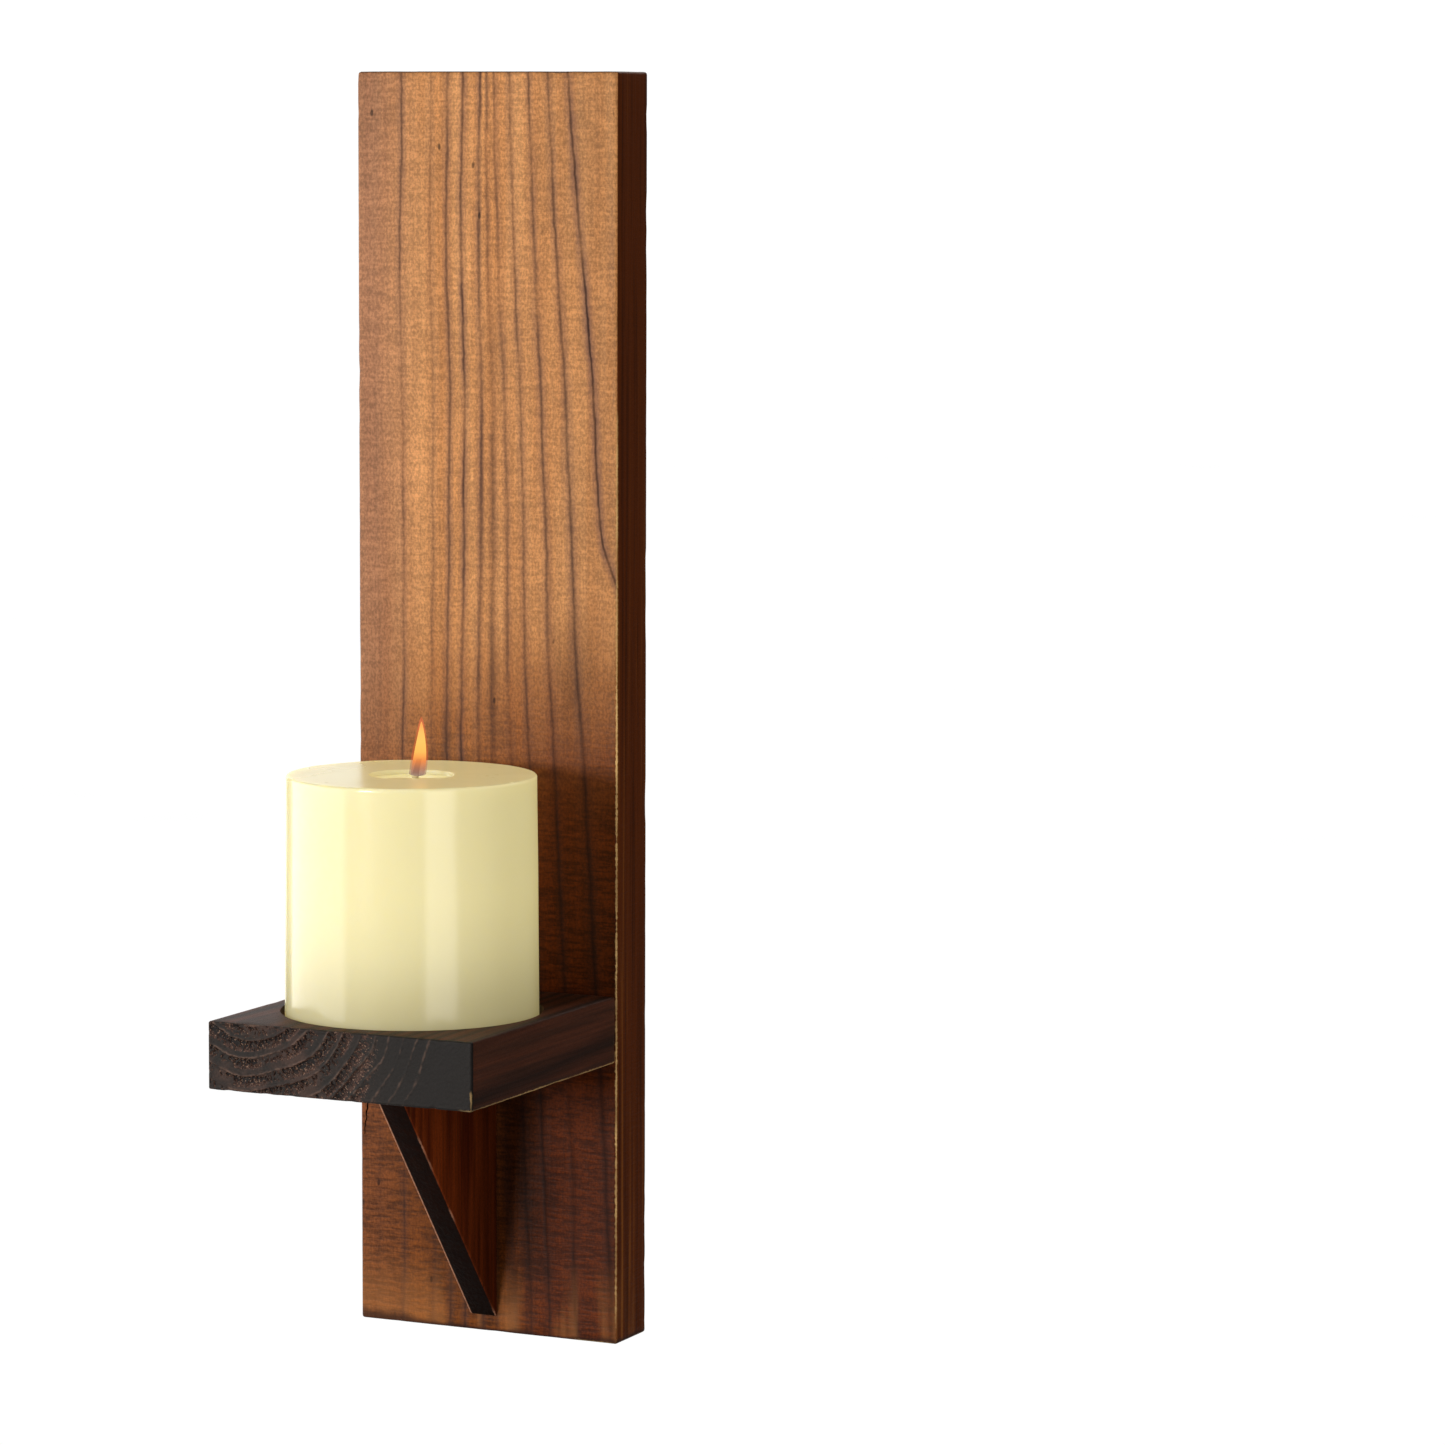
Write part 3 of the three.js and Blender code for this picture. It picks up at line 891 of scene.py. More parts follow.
def brace_material(wood):
    """The brace: red-brown sides with upright grain, painted shade towards the wall, a nearly black sloping
    edge and a painted highlight along its left edges.
    """
    material, nodes, place, normal = new_material("torched_brace")
    grain = place_group(nodes, "grain", {"Place": place})
    x, y, _ = nodes.axes(place)
    broad = nodes.stretched(place, (50, 120, 6), detail=3)
    shade = nodes.ramp(broad, [
        (0.3, stain(76, 26, 9)), (0.48, stain(124, 52, 16)), (0.58, stain(86, 30, 10)),
        (0.72, stain(156, 80, 30))])
    # Painted shade: the brace's sides are darkened towards the wall, in the corner between brace and board
    wall_corner_shade = nodes.step(y, BRACE[0].y + 15 * MM, BRACE[1].y)
    shade = darker(nodes, shade, wall_corner_shade, 0.55)
    shade = mottle(nodes, shade, grain["Fibre"], 0.25)
    shade = mottle(nodes, shade, grain["Speckle"], 0.12)
    edge, off_slope = brace_edge_distance(nodes, place)
    on_slope = nodes.times(nodes.step(off_slope, 0.6 * MM, 0.2 * MM),
                           nodes.step(nodes.maths("ABSOLUTE", nodes.axes(normal)[0]), 0.7, 0.3))
    shade = laid_over(nodes, shade, on_slope, 0.97, stain(9, 3, 1))
    worn = place_group(nodes, "worn", {
        "Place": place, "Distance": edge, "Width": 0.8 * wood.wear_width, "Amount": 0.45})["Mask"]
    # Painted highlight: a continuous pale line along the brace's left long edges, where the eased edge
    # catches the light; it is joined to the broken worn strip and laid on as pale timber
    on_left = nodes.step(x, middle(BRACE).x, BRACE[0].x)
    rubbed = nodes.times(nodes.step(edge, 0.9 * MM, 0.5 * MM), on_left)
    rubbed = nodes.times(rubbed, nodes.times_plus(grain["Fibre"], 0.5, 0.5))
    worn = nodes.maths("MAXIMUM", worn, rubbed)
    shade = laid_over(nodes, shade, worn, 0.8, stain(206, 148, 116))
    roughness = nodes.plus(0.45, nodes.times(grain["Fibre"], 0.2))
    height = nodes.plus(nodes.times(grain["Fibre"], 0.5), grain["Streak"])
    principled(nodes, {
        "Base Color": shade, "Roughness": roughness, "Specular IOR Level": 0.05}, height, 0.1 * MM)
    return material


# ---------------------------------------------------------------- candle and metal materials


def wax_material(candle):
    """Ivory wax: a soft painted glow inside it, painted shade that makes it darker and greener near the foot,
    small pits on top.
    """
    low, high = CANDLE
    material, nodes, place, normal = new_material("ivory_wax")
    z = nodes.axes(place)[2]
    rise = nodes.maths("DIVIDE", nodes.minus(z, low.z), high.z - low.z)
    # Painted shade: the wax darkens towards its foot
    shade = nodes.mix(nodes.step(rise, 0.4, 0.0), candle.wax, candle.shaded_wax)
    cloud = nodes.noise(place, scale=28, detail=3)
    shade = darker(nodes, shade, nodes.step(cloud, 0.4, 0.75), 0.05)
    bubbles = nodes.add("ShaderNodeTexVoronoi", {"Vector": place, "Scale": 260.0}).outputs["Distance"]
    rare = nodes.step(nodes.noise(place, scale=90, detail=2), 0.58, 0.66)
    top = nodes.step(nodes.axes(normal)[2], 0.7, 0.95)
    pits = nodes.times(nodes.times(nodes.step(bubbles, 0.22, 0.08), rare), top)
    shade = laid_over(nodes, shade, pits, 0.6, stain(120, 96, 60))
    ripple = nodes.noise(place, scale=60, detail=3)
    height = nodes.minus(nodes.times(ripple, 0.5), pits)
    wet = nodes.step(nodes.minus(high.z, z), 0.6 * MM, 0.9 * MM)
    molten = nodes.times(wet, top)
    roughness = nodes.plus(0.13, nodes.times(cloud, 0.08))
    roughness = nodes.plus(roughness, nodes.times(top, 0.1))
    roughness = nodes.minus(roughness, nodes.times(molten, 0.3))
    # Painted glow: the wax's own emission, strongest towards the top and weaker on the top face
    lit = nodes.times_plus(nodes.step(rise, 0.0, 0.6), 0.55, 0.45)
    inner = scale_colour(nodes, candle.inner_light, lit)
    inner = darker(nodes, inner, top, 0.24)
    principled(nodes, {
        "Base Color": shade, "Roughness": roughness, "Subsurface Weight": 0.85,
        "Subsurface Radius": (1.0, 0.8, 0.42), "Subsurface Scale": 16 * MM,
        "Emission Color": inner, "Emission Strength": candle.inner_strength}, height, 0.12 * MM)
    return material


def flame_material(name, candle, colours, cover):
    """A layer of the flame, with its colours and its cover from the foot to the tip."""
    foot, tall = flame_place()
    material, nodes, place, _ = new_material(name)
    rise = nodes.maths("DIVIDE", nodes.minus(nodes.axes(place)[2], foot.z), tall)
    fire = nodes.ramp(rise, colours)
    body = nodes.ramp(rise, [(stop, (share,) * 3) for stop, share in cover])
    principled(nodes, {
        "Base Color": (0, 0, 0), "Roughness": 1.0, "Specular IOR Level": 0.0,
        "Emission Color": fire, "Emission Strength": candle.glow, "Alpha": body})
    return material


def wick_material():
    """Charred cotton, with a paler foot that the wax still feeds."""
    tip_z = WICK[1].z
    material, nodes, place, _ = new_material("charred_cotton")
    molten_z = CANDLE[1].z - MOLTEN_DROP
    rise = nodes.maths("DIVIDE", nodes.minus(nodes.axes(place)[2], molten_z), tip_z - molten_z)
    weave = nodes.noise(place, scale=2400, detail=3)
    shade = nodes.ramp(rise, [
        (0.12, stain(226, 208, 160)), (0.3, stain(96, 76, 58)), (0.55, stain(28, 22, 20))])
    shade = darker(nodes, shade, weave, 0.4)
    roughness = nodes.plus(0.75, nodes.times(weave, 0.2))
    principled(nodes, {"Base Color": shade, "Roughness": roughness}, weave, 0.15 * MM)
    return material


def plated_material(name, plate):
    """Bright plated metal with fine scratches and duller patches."""
    material, nodes, place, _ = new_material(name)
    wear = place_group(nodes, "metal", {"Place": place})
    shade = darker(nodes, nodes.mix(wear["Patch"], plate, (0.42, 0.42, 0.41)), wear["Scratch"], 0.2)
    roughness = nodes.plus(0.26, nodes.times(wear["Patch"], 0.2))
    principled(nodes, {
        "Base Color": shade, "Metallic": 1.0, "Roughness": roughness}, wear["Scratch"], 0.03 * MM)
    return material


# ---------------------------------------------------------------- wooden pieces


def screw_facts(name):
    """A screw's head point, its direction towards the tip, its length and its head's radius."""
    low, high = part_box(name)
    centre = middle((low, high))
    if name in TOP_SCREWS:
        head = Vector((centre.x, centre.y, high.z))
        return head, Vector((0, 0, -1)), high.z - low.z, (high.x - low.x) / 2
    head = Vector((centre.x, high.y, centre.z))
    return head, Vector((0, -1, 0)), high.y - low.y, (high.x - low.x) / 2


def screw_holes(names, reach):
    """Cutters for the countersunk holes of these screws, widening on for reach above the head."""
    cutters = []
    for name in names:
        head, down, depth, head_radius = screw_facts(name)
        shank = SHANK_SHARE * head_radius
        inside = head_radius - shank / 2
        tip = head + down * (depth + FIT_GAP)
        mouth = head - down * reach
        cutters.append(rod("hole", shank + FIT_GAP, tip, mouth, sides=24))
        cutters.append(cone("sink", shank / 2 + FIT_GAP, head_radius + FIT_GAP + reach,
                            head + down * inside, mouth, sides=36))
    return cutters


def stadium(name, radius, half_run, axis, back, depth):
    """A plate with round ends, lengthened along an axis, reaching forward from its back."""
    plate = rod(name, radius, back + Vector((0, -depth, 0)), back, sides=64)
    centre = back[axis]
    edit(plate)
    for side in (-1, 1):
        pick(plate, "VERT", lambda vertex, side=side: side * (vertex.co[axis] - centre) > 0.01 * radius)
        move = Vector((0, 0, 0))
        move[axis] = side * half_run
        bpy.ops.transform.translate(value=move)
    leave()
    return plate


def hanger_cutters():
    """The let-in for the hanger plate and the pocket for the wall screw's head behind it."""
    low, high = HANGER
    centre = middle(HANGER)
    radius = (high.z - low.z) / 2
    half_run = (high.x - low.x) / 2 - radius
    # How far the cutters stand out of the board's back
    mouth = 1 * MM
    back = Vector((centre.x, BOARD[1].y + mouth, centre.z))
    let_in_depth = BOARD[1].y - low.y + FIT_GAP
    let_in = stadium("let_in", radius + FIT_GAP, half_run, 0, back, let_in_depth + mouth)
    rise = (KEYHOLE["slot_rise"] + KEYHOLE["entry_drop"]) / 2
    pocket_centre = back + Vector((0, 0, KEYHOLE["slot_rise"] - rise))
    pocket_depth = let_in_depth + NAIL_POCKET_DEPTH + mouth
    pocket = stadium("pocket", NAIL_POCKET_RADIUS, rise, 2, pocket_centre, pocket_depth)
    return [let_in, pocket]


def join_flat_back(board):
    """Makes the board's flat back one face, so that the cuts into it stay clean."""
    back = BOARD[1].y
    edit(board)
    pick(board, "FACE", lambda face: all(abs(vertex.co.y - back) < 0.001 * MM for vertex in face.verts))
    bpy.ops.mesh.dissolve_faces()
    leave()


def split_cutter():
    """A thin jagged blade for the short split by the board's left edge, under the shelf."""
    width, depth, tall = 0.75 * MM, 4 * MM, 18 * MM
    drift = 2.2 * MM
    foot = Vector((BOARD[0].x + 0.9 * MM, BOARD[0].y - 1 * MM, SPLIT_FOOT))
    blade = block("split", foot, foot + Vector((width, depth, tall)))
    divide(blade, ((), (), (20,)))

    def jag(place, normal):
        rise = (place.z - foot.z) / tall
        wander = 0.7 * MM * noise.noise(Vector((0, 0, place.z / (1.6 * MM))))
        closing = (1 - rise) * 0.6 * (foot.x + width / 2 - place.x)
        return Vector((drift * rise + wander + closing, 0, 0))

    move_points(blade, jag)
    return blade


def make_board(wood):
    """The backboard: eased and nicked edges, the hanger's let-in and the screw holes."""
    board = block("backboard_plank", *BOARD)
    bevel(board, wood.eased_edge)
    divide(board, BOARD_CELLS)
    nick_edges(board, BOARD, reach=1.6 * MM, depth=0.45 * MM, size=7 * MM)
    join_flat_back(board)
    carve(board, hanger_cutters() + [split_cutter()])
    carve(board, screw_holes(BACK_SCREWS, reach=2 * MM))
    carve(board, screw_holes(HANGER_SCREWS, reach=0.1 * MM))
    outward(board)
    smooth(board)
    return finish_piece(board, board_material(wood), "sconce", ["backboard"])


def shelf_ridge(place):
    """How near the end grain is to a ring's hard late wood, 0 to 1, and how far past a ring."""
    heart_x, heart_z = shelf_heart()
    wobble = noise.noise(Vector((place.x, 0, place.z)) / (14 * MM)) * 1.6 * MM
    wobble += noise.noise(Vector((place.x, 3 * MM, place.z)) / (1.2 * MM)) * 0.25 * MM
    radius = math.hypot(place.x - heart_x, place.z - heart_z) + wobble
    nearest = min(abs(radius - ring * MM) for ring in SHELF_RINGS)
    past_ring = min([radius - ring * MM for ring in SHELF_RINGS if radius > ring * MM] or [radius])
    proud = 1.0 if radius < LAST_PROUD_RING else 0.0
    return proud * max(0.0, 1 - nearest / (0.45 * MM)), past_ring


def torn_share(place):
    """How torn the end grain is: rough at the lower left, smooth at the right."""
    low, high = SHELF
    across = (place.x - low.x) / (high.x - low.x)
    return max(0.0, min(1.0, (0.66 - across) / 0.16))


def shelf_pit(place, ridge, past_ring):
    """Short strokes torn across the soft early wood just outside each ring, from 0 to 1."""
    heart_x, heart_z = shelf_heart()
    turn = math.atan2(place.z - heart_z, place.x - heart_x)
    radius = math.hypot(place.x - heart_x, place.z - heart_z)
    ring = radius - past_ring
    stroke = Vector((turn * ring / (0.75 * MM), radius / (1.7 * MM), 0))
    rough = noise.noise(stroke) + 0.6 * noise.noise(stroke * 2.1)
    patch = noise.noise(place / (9 * MM) + Vector((5, 0, 0)))
    weak_ring = 0.5 * noise.noise(Vector((ring / (6 * MM), 0, 0)))
    soft = min(1.0, past_ring / (0.25 * MM)) * max(0.0, 1 - past_ring / (3.6 * MM)) ** 0.5
    bite = (rough + 0.6 * patch + weak_ring + 0.06) * 4
    return max(0.0, min(1.0, bite)) * torn_share(place) * soft * (1 - ridge)


def carve_end_grain(shelf):
    """Lowers the soft wood between the rings of the front end and writes what the shader reads."""
    low = SHELF[0]
    ridges, pits = [], []
    for vertex in shelf.data.vertices:
        place = vertex.co.copy()
        in_front = max(0.0, 1 - (place.y - low.y) / (0.9 * MM))
        ridge, past_ring = shelf_ridge(place)
        ridge *= in_front
        pit = shelf_pit(place, ridge, past_ring) * in_front
        margin = min(1.0, edge_distance_in_front(place) / (1.2 * MM))
        worn = WORN_BACK * (1 - ridge) * (0.35 + 0.65 * torn_share(place))
        depth = (worn + TORN_DEPTH * pit) * margin * in_front
        vertex.co.y += depth
        broken = noise.noise(place / (1.6 * MM)) + noise.noise(place / (7 * MM))
        ridges.append(ridge * max(0.0, min(1.0, 0.55 + 1.2 * broken)))
        pits.append(pit)
    for name, values in (("ridge", ridges), ("pit", pits)):
        attribute = shelf.data.attributes.new(name, "FLOAT", "POINT")
        attribute.data.foreach_set("value", values)
    shelf.data.update()


def edge_distance_in_front(place):
    """How far a point of the front end is from that end's outline."""
    low, high = SHELF
    return min(place.x - low.x, high.x - place.x, place.z - low.z, high.z - place.z)


def make_shelf(wood):
    """The shelf: carved end grain in front, and the round recess for the candle."""
    shelf = block("shelf_block", *SHELF)
    bevel(shelf, 0.7 * wood.eased_edge)
    divide(shelf, SHELF_CELLS)
    candle = middle(CANDLE)
    well_floor = Vector((candle.x, candle.y, CANDLE[0].z))
    well = rod("well", RECESS_RADIUS, well_floor, well_floor + Vector((0, 0, 10 * MM)), sides=128)
    carve(shelf, [well])
    carve(shelf, screw_holes(BACK_SCREWS[:2], reach=0.1 * MM))
    carve(shelf, screw_holes(TOP_SCREWS, reach=2 * MM))
    edit(shelf)
    front = SHELF[0].y
    pick(shelf, "FACE", lambda face: max(vertex.co.y for vertex in face.verts) < front + 0.7 * MM)
    bpy.ops.mesh.subdivide(number_cuts=FRONT_CUTS)
    leave()
    nick_edges(shelf, SHELF, reach=1.3 * MM, depth=0.5 * MM, size=3 * MM)
    carve_end_grain(shelf)
    outward(shelf)
    smooth(shelf, angle=50)
    return finish_piece(shelf, shelf_material(wood), "sconce", ["shelf"])


def make_brace(wood):
    """The brace: a block sawn along its slope, its edges eased, with its screw holes."""
    low, high = BRACE
    brace = block("brace_wedge", low, high)
    point, facing = brace_slope()
    edit(brace)
    bpy.ops.mesh.select_all(action="SELECT")
    bpy.ops.mesh.bisect(plane_co=point, plane_no=facing, use_fill=True, clear_outer=True)
    leave()
    outward(brace)
    bevel(brace, 0.6 * wood.eased_edge)
    carve(brace, screw_holes(BACK_SCREWS[2:] + TOP_SCREWS, reach=0.1 * MM))
    outward(brace)
    smooth(brace)
    return finish_piece(brace, brace_material(wood), "sconce", ["brace"])


# ---------------------------------------------------------------- candle pieces


def select_cap(piece, height, up):
    """In edit mode, selects the flat faces at a height that face up or down."""
    pick(piece, "FACE", lambda face: abs(face.calc_center_median().z - height) < 0.02 * MM
         and face.normal.z * up > 0.9)


def step_in(inset, lift, slide=0.0):
    """Insets the selected faces and moves the inner ones up and sideways."""
    bpy.ops.mesh.inset(thickness=inset, depth=0)
    bpy.ops.transform.translate(value=(slide, 0, lift))


def selected_height(piece):
    """In edit mode, the height of the highest selected face."""
    faces = bmesh.from_edit_mesh(piece.data).faces
    return max(face.calc_center_median().z for face in faces if face.select)


def bridge_caps(piece, heights, centre, radius):
    """Opens the two small caps at these heights and joins them with a bore."""
    def is_cap(face):
        found = face.calc_center_median()
        at_height = any(abs(found.z - height) < 0.05 * MM for height in heights)
        small = max((vertex.co.xy - centre.xy).length for vertex in face.verts) < 1.2 * radius
        return at_height and small and len(face.verts) > 4 and (found.xy - centre.xy).length < 0.3 * MM

    pick(piece, "FACE", is_cap)
    bpy.ops.mesh.delete(type="ONLY_FACE")
    pick(piece, "EDGE", lambda edge: edge.is_boundary)
    bpy.ops.mesh.bridge_edge_loops()


def make_candle(candle):
    """The pillar: tapered, with a rounded rim, a melt pool, and a seat for the wick's tab."""
    low, high = CANDLE
    centre = middle(CANDLE)
    base_radius = (high.x - low.x) / 2
    taper = 0.6 * MM
    top_radius = base_radius - taper
    wick_x = middle(TAB).x
    shift = wick_x - centre.x
    bore = WICK_RADIUS + FIT_GAP
    foot = Vector((centre.x, centre.y, low.z))
    head = Vector((centre.x, centre.y, high.z))
    pillar = cone("pillar_candle", base_radius, top_radius, foot, head, sides=160)
    edit(pillar)
    pick(pillar, "EDGE", lambda edge: abs(edge.verts[0].co.z - edge.verts[1].co.z) < 0.01 * MM)
    bpy.ops.mesh.bevel(offset=candle.rim_radius, segments=5, affect="EDGES")

    # From the rim inwards: the top sinks a little, then falls in steps to the pool's floor
    select_cap(pillar, high.z, 1)
    reach = top_radius - candle.rim_radius
    step_in(1.5 * MM, -0.12 * MM)
    step_in(6 * MM, -0.08 * MM)
    step_in(reach - 7.5 * MM - POOL_RADIUS, 0.1 * MM)
    pool_steps = ((0.3, -0.1), (0.5, -0.75), (0.3, -0.2), (1.6, 0.03), (3.0, 0.02))
    for inset, share in pool_steps:
        step_in(inset * MM, share * MOLTEN_DROP)
    # The molten wax slides over to the wick, which stands off the candle's middle, and climbs it
    climb = POOL_RADIUS - sum(inset for inset, _ in pool_steps) * MM - bore
    step_in(0.55 * climb, 0.0, shift)
    step_in(0.45 * climb, 0.2 * MM)
    pool_z = selected_height(pillar)

    # From below: the seat of the tab's disc, then the seat of its neck
    select_cap(pillar, low.z, -1)
    seat_radius = (TAB[1].x - TAB[0].x) / 2 + FIT_GAP
    neck_height = TAB[1].z - TAB[0].z
    step_in(base_radius - candle.rim_radius - seat_radius - 1 * MM, 0)
    step_in(1 * MM, 0, shift)
    step_in(0.05 * MM, 0.9 * MM)
    step_in(seat_radius - TAB_NECK_RADIUS - FIT_GAP, 0)
    step_in(0.05 * MM, neck_height - 0.6 * MM)
    step_in(TAB_NECK_RADIUS - bore, 0)
    seat_z = selected_height(pillar)
    bridge_caps(pillar, (pool_z, seat_z), Vector((wick_x, centre.y, 0)), bore)
    leave()
    outward(pillar)
    divide_upright(pillar)
    move_points(pillar, wax_swell)
    smooth(pillar, angle=60)
    apply_modifier(pillar, "WEIGHTED_NORMAL", keep_sharp=True)
    return finish_piece(pillar, wax_material(candle), "candle", ["candle"])


def divide_upright(pillar):
    """Cuts the candle's wall into short bands, so that it can swell a little."""
    edit(pillar)
    pick(pillar, "EDGE", lambda edge: abs(edge.verts[0].co.z - edge.verts[1].co.z) > 60 * MM
         and (edge.verts[0].co.xy - edge.verts[1].co.xy).length < 2 * MM
         and (edge.verts[0].co.xy - middle(CANDLE).xy).length > 30 * MM)
    bpy.ops.mesh.subdivide(number_cuts=14)
    leave()


def wax_swell(place, normal):
    """The wall's slight waviness, always inwards, and the top's uneven set."""
    if abs(normal.z) < 0.3:
        return -normal * 0.12 * MM * (0.5 + noise.noise(place / (22 * MM)))
    if normal.z > 0.9 and place.z > CANDLE[1].z - 0.3 * MM:
        return Vector((0, 0, -0.15 * MM * (0.6 + noise.noise(place / (9 * MM)))))
    return None


def make_wick():
    """The wick: three strands laid round each other, leaning where it stands free."""
    low, high = WICK
    foot_centre = Vector((low.x + WICK_RADIUS, middle(WICK).y, low.z))
    free = 6.5 * MM
    lean = (high.x - low.x) - 2 * WICK_RADIUS - 0.1 * MM
    straight_top = high.z - free
    head = foot_centre + Vector((0, 0, high.z - low.z - 0.4 * MM))
    wick = rod("braided_wick", WICK_RADIUS, foot_centre, head, sides=24)
    edit(wick)
    for count in (32, 4):
        pick(wick, "EDGE", lambda edge: lies_along(edge, 2))
        bpy.ops.mesh.subdivide(number_cuts=count - 1)
    leave()
    lay = 2 * math.pi / (5 * MM)

    def strand(place, normal):
        arm = place.xy - foot_centre.xy
        angle = math.atan2(arm.y, arm.x)
        swell = abs(math.cos(1.5 * (angle - lay * (place.z - low.z))))
        above = max(0.0, (place.z - straight_top) / free)
        thin = 1 - 0.25 * above
        shrink = (0.8 + 0.2 * swell) * thin - 1
        return Vector((arm.x * shrink + lean * above ** 1.6, arm.y * shrink, 0))

    move_points(wick, strand)
    smooth(wick, angle=60)
    return finish_piece(wick, wick_material(), "candle", ["candle_wick"])


def make_wick_tab(metal):
    """The wick's tab: a pressed disc with a crimped neck, bored for the wick."""
    low, high = TAB
    centre = middle(TAB)
    radius = (high.x - low.x) / 2
    disc_top = low.z + 0.6 * MM
    bore = WICK_RADIUS + 0.15 * MM
    tab = rod("wick_sustainer", radius, Vector((centre.x, centre.y, low.z)),
              Vector((centre.x, centre.y, disc_top)), sides=64)
    edit(tab)
    select_cap(tab, disc_top, 1)
    step_in(0.3 * MM, 0)
    step_in(1.2 * MM, -0.2 * MM)
    step_in(0.4 * MM, 0)
    step_in(0.4 * MM, 0.2 * MM)
    step_in(radius - 2.3 * MM - TAB_NECK_RADIUS, 0)
    step_in(0.25 * MM, 0.3 * MM)
    step_in(0.02 * MM, high.z - disc_top - 0.6 * MM)
    step_in(0.15 * MM, 0.3 * MM)
    step_in(TAB_NECK_RADIUS - 0.42 * MM - bore, 0)
    select_cap(tab, low.z, -1)
    step_in(radius - bore, 0)
    bridge_caps(tab, (high.z, low.z), centre, bore)
    leave()
    outward(tab)
    move_points(tab, lambda place, normal: crimp(place, centre, disc_top + 1.2 * MM, high.z - 0.8 * MM))
    smooth(tab, angle=40)
    return finish_piece(tab, plated_material("tin_plate", metal.tin), "candle", ["wick_tab"])


def crimp(place, centre, low_z, high_z):
    """Nothing below or above the neck; between, the neck is pinched on four sides."""
    if not low_z < place.z < high_z:
        return None
    arm = place.xy - centre.xy
    pinch = 0.1 * abs(math.cos(2 * math.atan2(arm.y, arm.x)))
    return Vector((-arm.x * pinch, -arm.y * pinch, 0))


def flame_place():
    """The middle of the flame's foot, on the melt pool round the wick, and the flame's height."""
    foot = Vector((WICK[0].x + WICK_RADIUS + 0.6 * MM, middle(WICK).y, CANDLE[1].z - FLAME_SINK))
    return foot, FLAME_HEIGHT


def make_tongue(name, share):
    """A tongue of flame, upright on its right and sloping on its left, as that share of full size."""
    foot, tall = flame_place()
    tall *= 1 - 0.4 * (1 - share)
    radius = FLAME_FOOT_RADIUS * share
    tongue = start(name, bpy.ops.mesh.primitive_uv_sphere_add, segments=32, ring_count=40,
                   radius=tall / 2, location=foot + Vector((0, 0, tall / 2)))

    def draw_out(place, normal):
        rise = min(1.0, max(0.0, (place.z - foot.z) / tall))
        was = tall * math.sqrt(rise * (1 - rise))
        if was < 0.001 * MM:
            return Vector((FLAME_LEAN if rise > 0.5 else 0.0, 0, 0))
        rounding = min(1.0, math.sqrt(rise / 0.03))
        narrow = radius * rounding * (1 + 0.25 * math.sin(math.pi * rise)) * (1 - rise) ** 0.6 / was
        lean = FLAME_LEAN * (1 - (1 - rise) ** 2.2)
        arm = place - foot
        return Vector((arm.x * (narrow - 1) + lean, arm.y * (0.8 * narrow - 1), 0))

    move_points(tongue, draw_out)
    outward(tongue)
    smooth(tongue, angle=80)
    tongue.visible_shadow = False
    return tongue


def make_flame(candle):
    """The flame: a clear red mantle round a yellow core, both smoky where they meet the wick."""
    mantle_colours = [
        (0.0, stain(140, 112, 104)), (0.16, stain(168, 104, 84)), (0.32, stain(216, 96, 52)),
        (0.6, stain(226, 104, 50)), (0.9, stain(232, 112, 72))]
    mantle_cover = [(0.0, 0.4), (0.2, 0.3), (0.6, 0.16), (0.86, 0.34), (1.0, 0.25)]
    core_colours = [
        (0.0, stain(146, 132, 120)), (0.12, stain(182, 128, 98)), (0.26, stain(240, 148, 76)),
        (0.42, stain(255, 200, 98)), (0.75, stain(255, 206, 108)), (0.95, stain(250, 174, 90))]
    core_cover = [(0.0, 0.55), (0.15, 0.65), (0.35, 0.92), (0.9, 0.9), (1.0, 0.5)]
    mantle = make_tongue("flame_mantle", 1.0)
    finish_piece(mantle, flame_material("flame_mantle", candle, mantle_colours, mantle_cover),
                 "candle")
    core = make_tongue("flame_core", 0.8)
    finish_piece(core, flame_material("flame_core", candle, core_colours, core_cover),
                 "candle")


# ---------------------------------------------------------------- hardware


def make_hanger(metal):
    """The keyhole hanger: a plate with round ends, a keyhole and two countersunk holes."""
    low, high = HANGER
    centre = middle(HANGER)
    radius = (high.z - low.z) / 2
    back = Vector((centre.x, high.y, centre.z))
    plate = stadium("keyhole_plate", radius, (high.x - low.x) / 2 - radius, 0, back, high.y - low.y)
    past = 1 * MM
    entry = back + Vector((0, past, -KEYHOLE["entry_drop"]))
    through = Vector((0, -(high.y - low.y) - 2 * past, 0))
    half_slot = (KEYHOLE["slot_rise"] + KEYHOLE["entry_drop"]) / 2
    slot_middle = back + Vector((0, past, KEYHOLE["slot_rise"] - half_slot))
    carve(plate, [
        rod("entry", KEYHOLE["entry_radius"], entry + through, entry, sides=64),
        stadium("slot", KEYHOLE["slot_radius"], half_slot, 2, slot_middle, -through.y),
    ])
    carve(plate, screw_holes(HANGER_SCREWS, reach=1 * MM))
    apply_modifier(plate, "BEVEL", width=0.18 * MM, segments=2, limit_method="ANGLE",
                   angle_limit=math.radians(50))
    outward(plate)
    smooth(plate, angle=40)
    apply_modifier(plate, "WEIGHTED_NORMAL", keep_sharp=True)
    material = plated_material("zinc_plate", metal.zinc)
    return finish_piece(plate, material, "sconce", ["keyhole_hanger"])


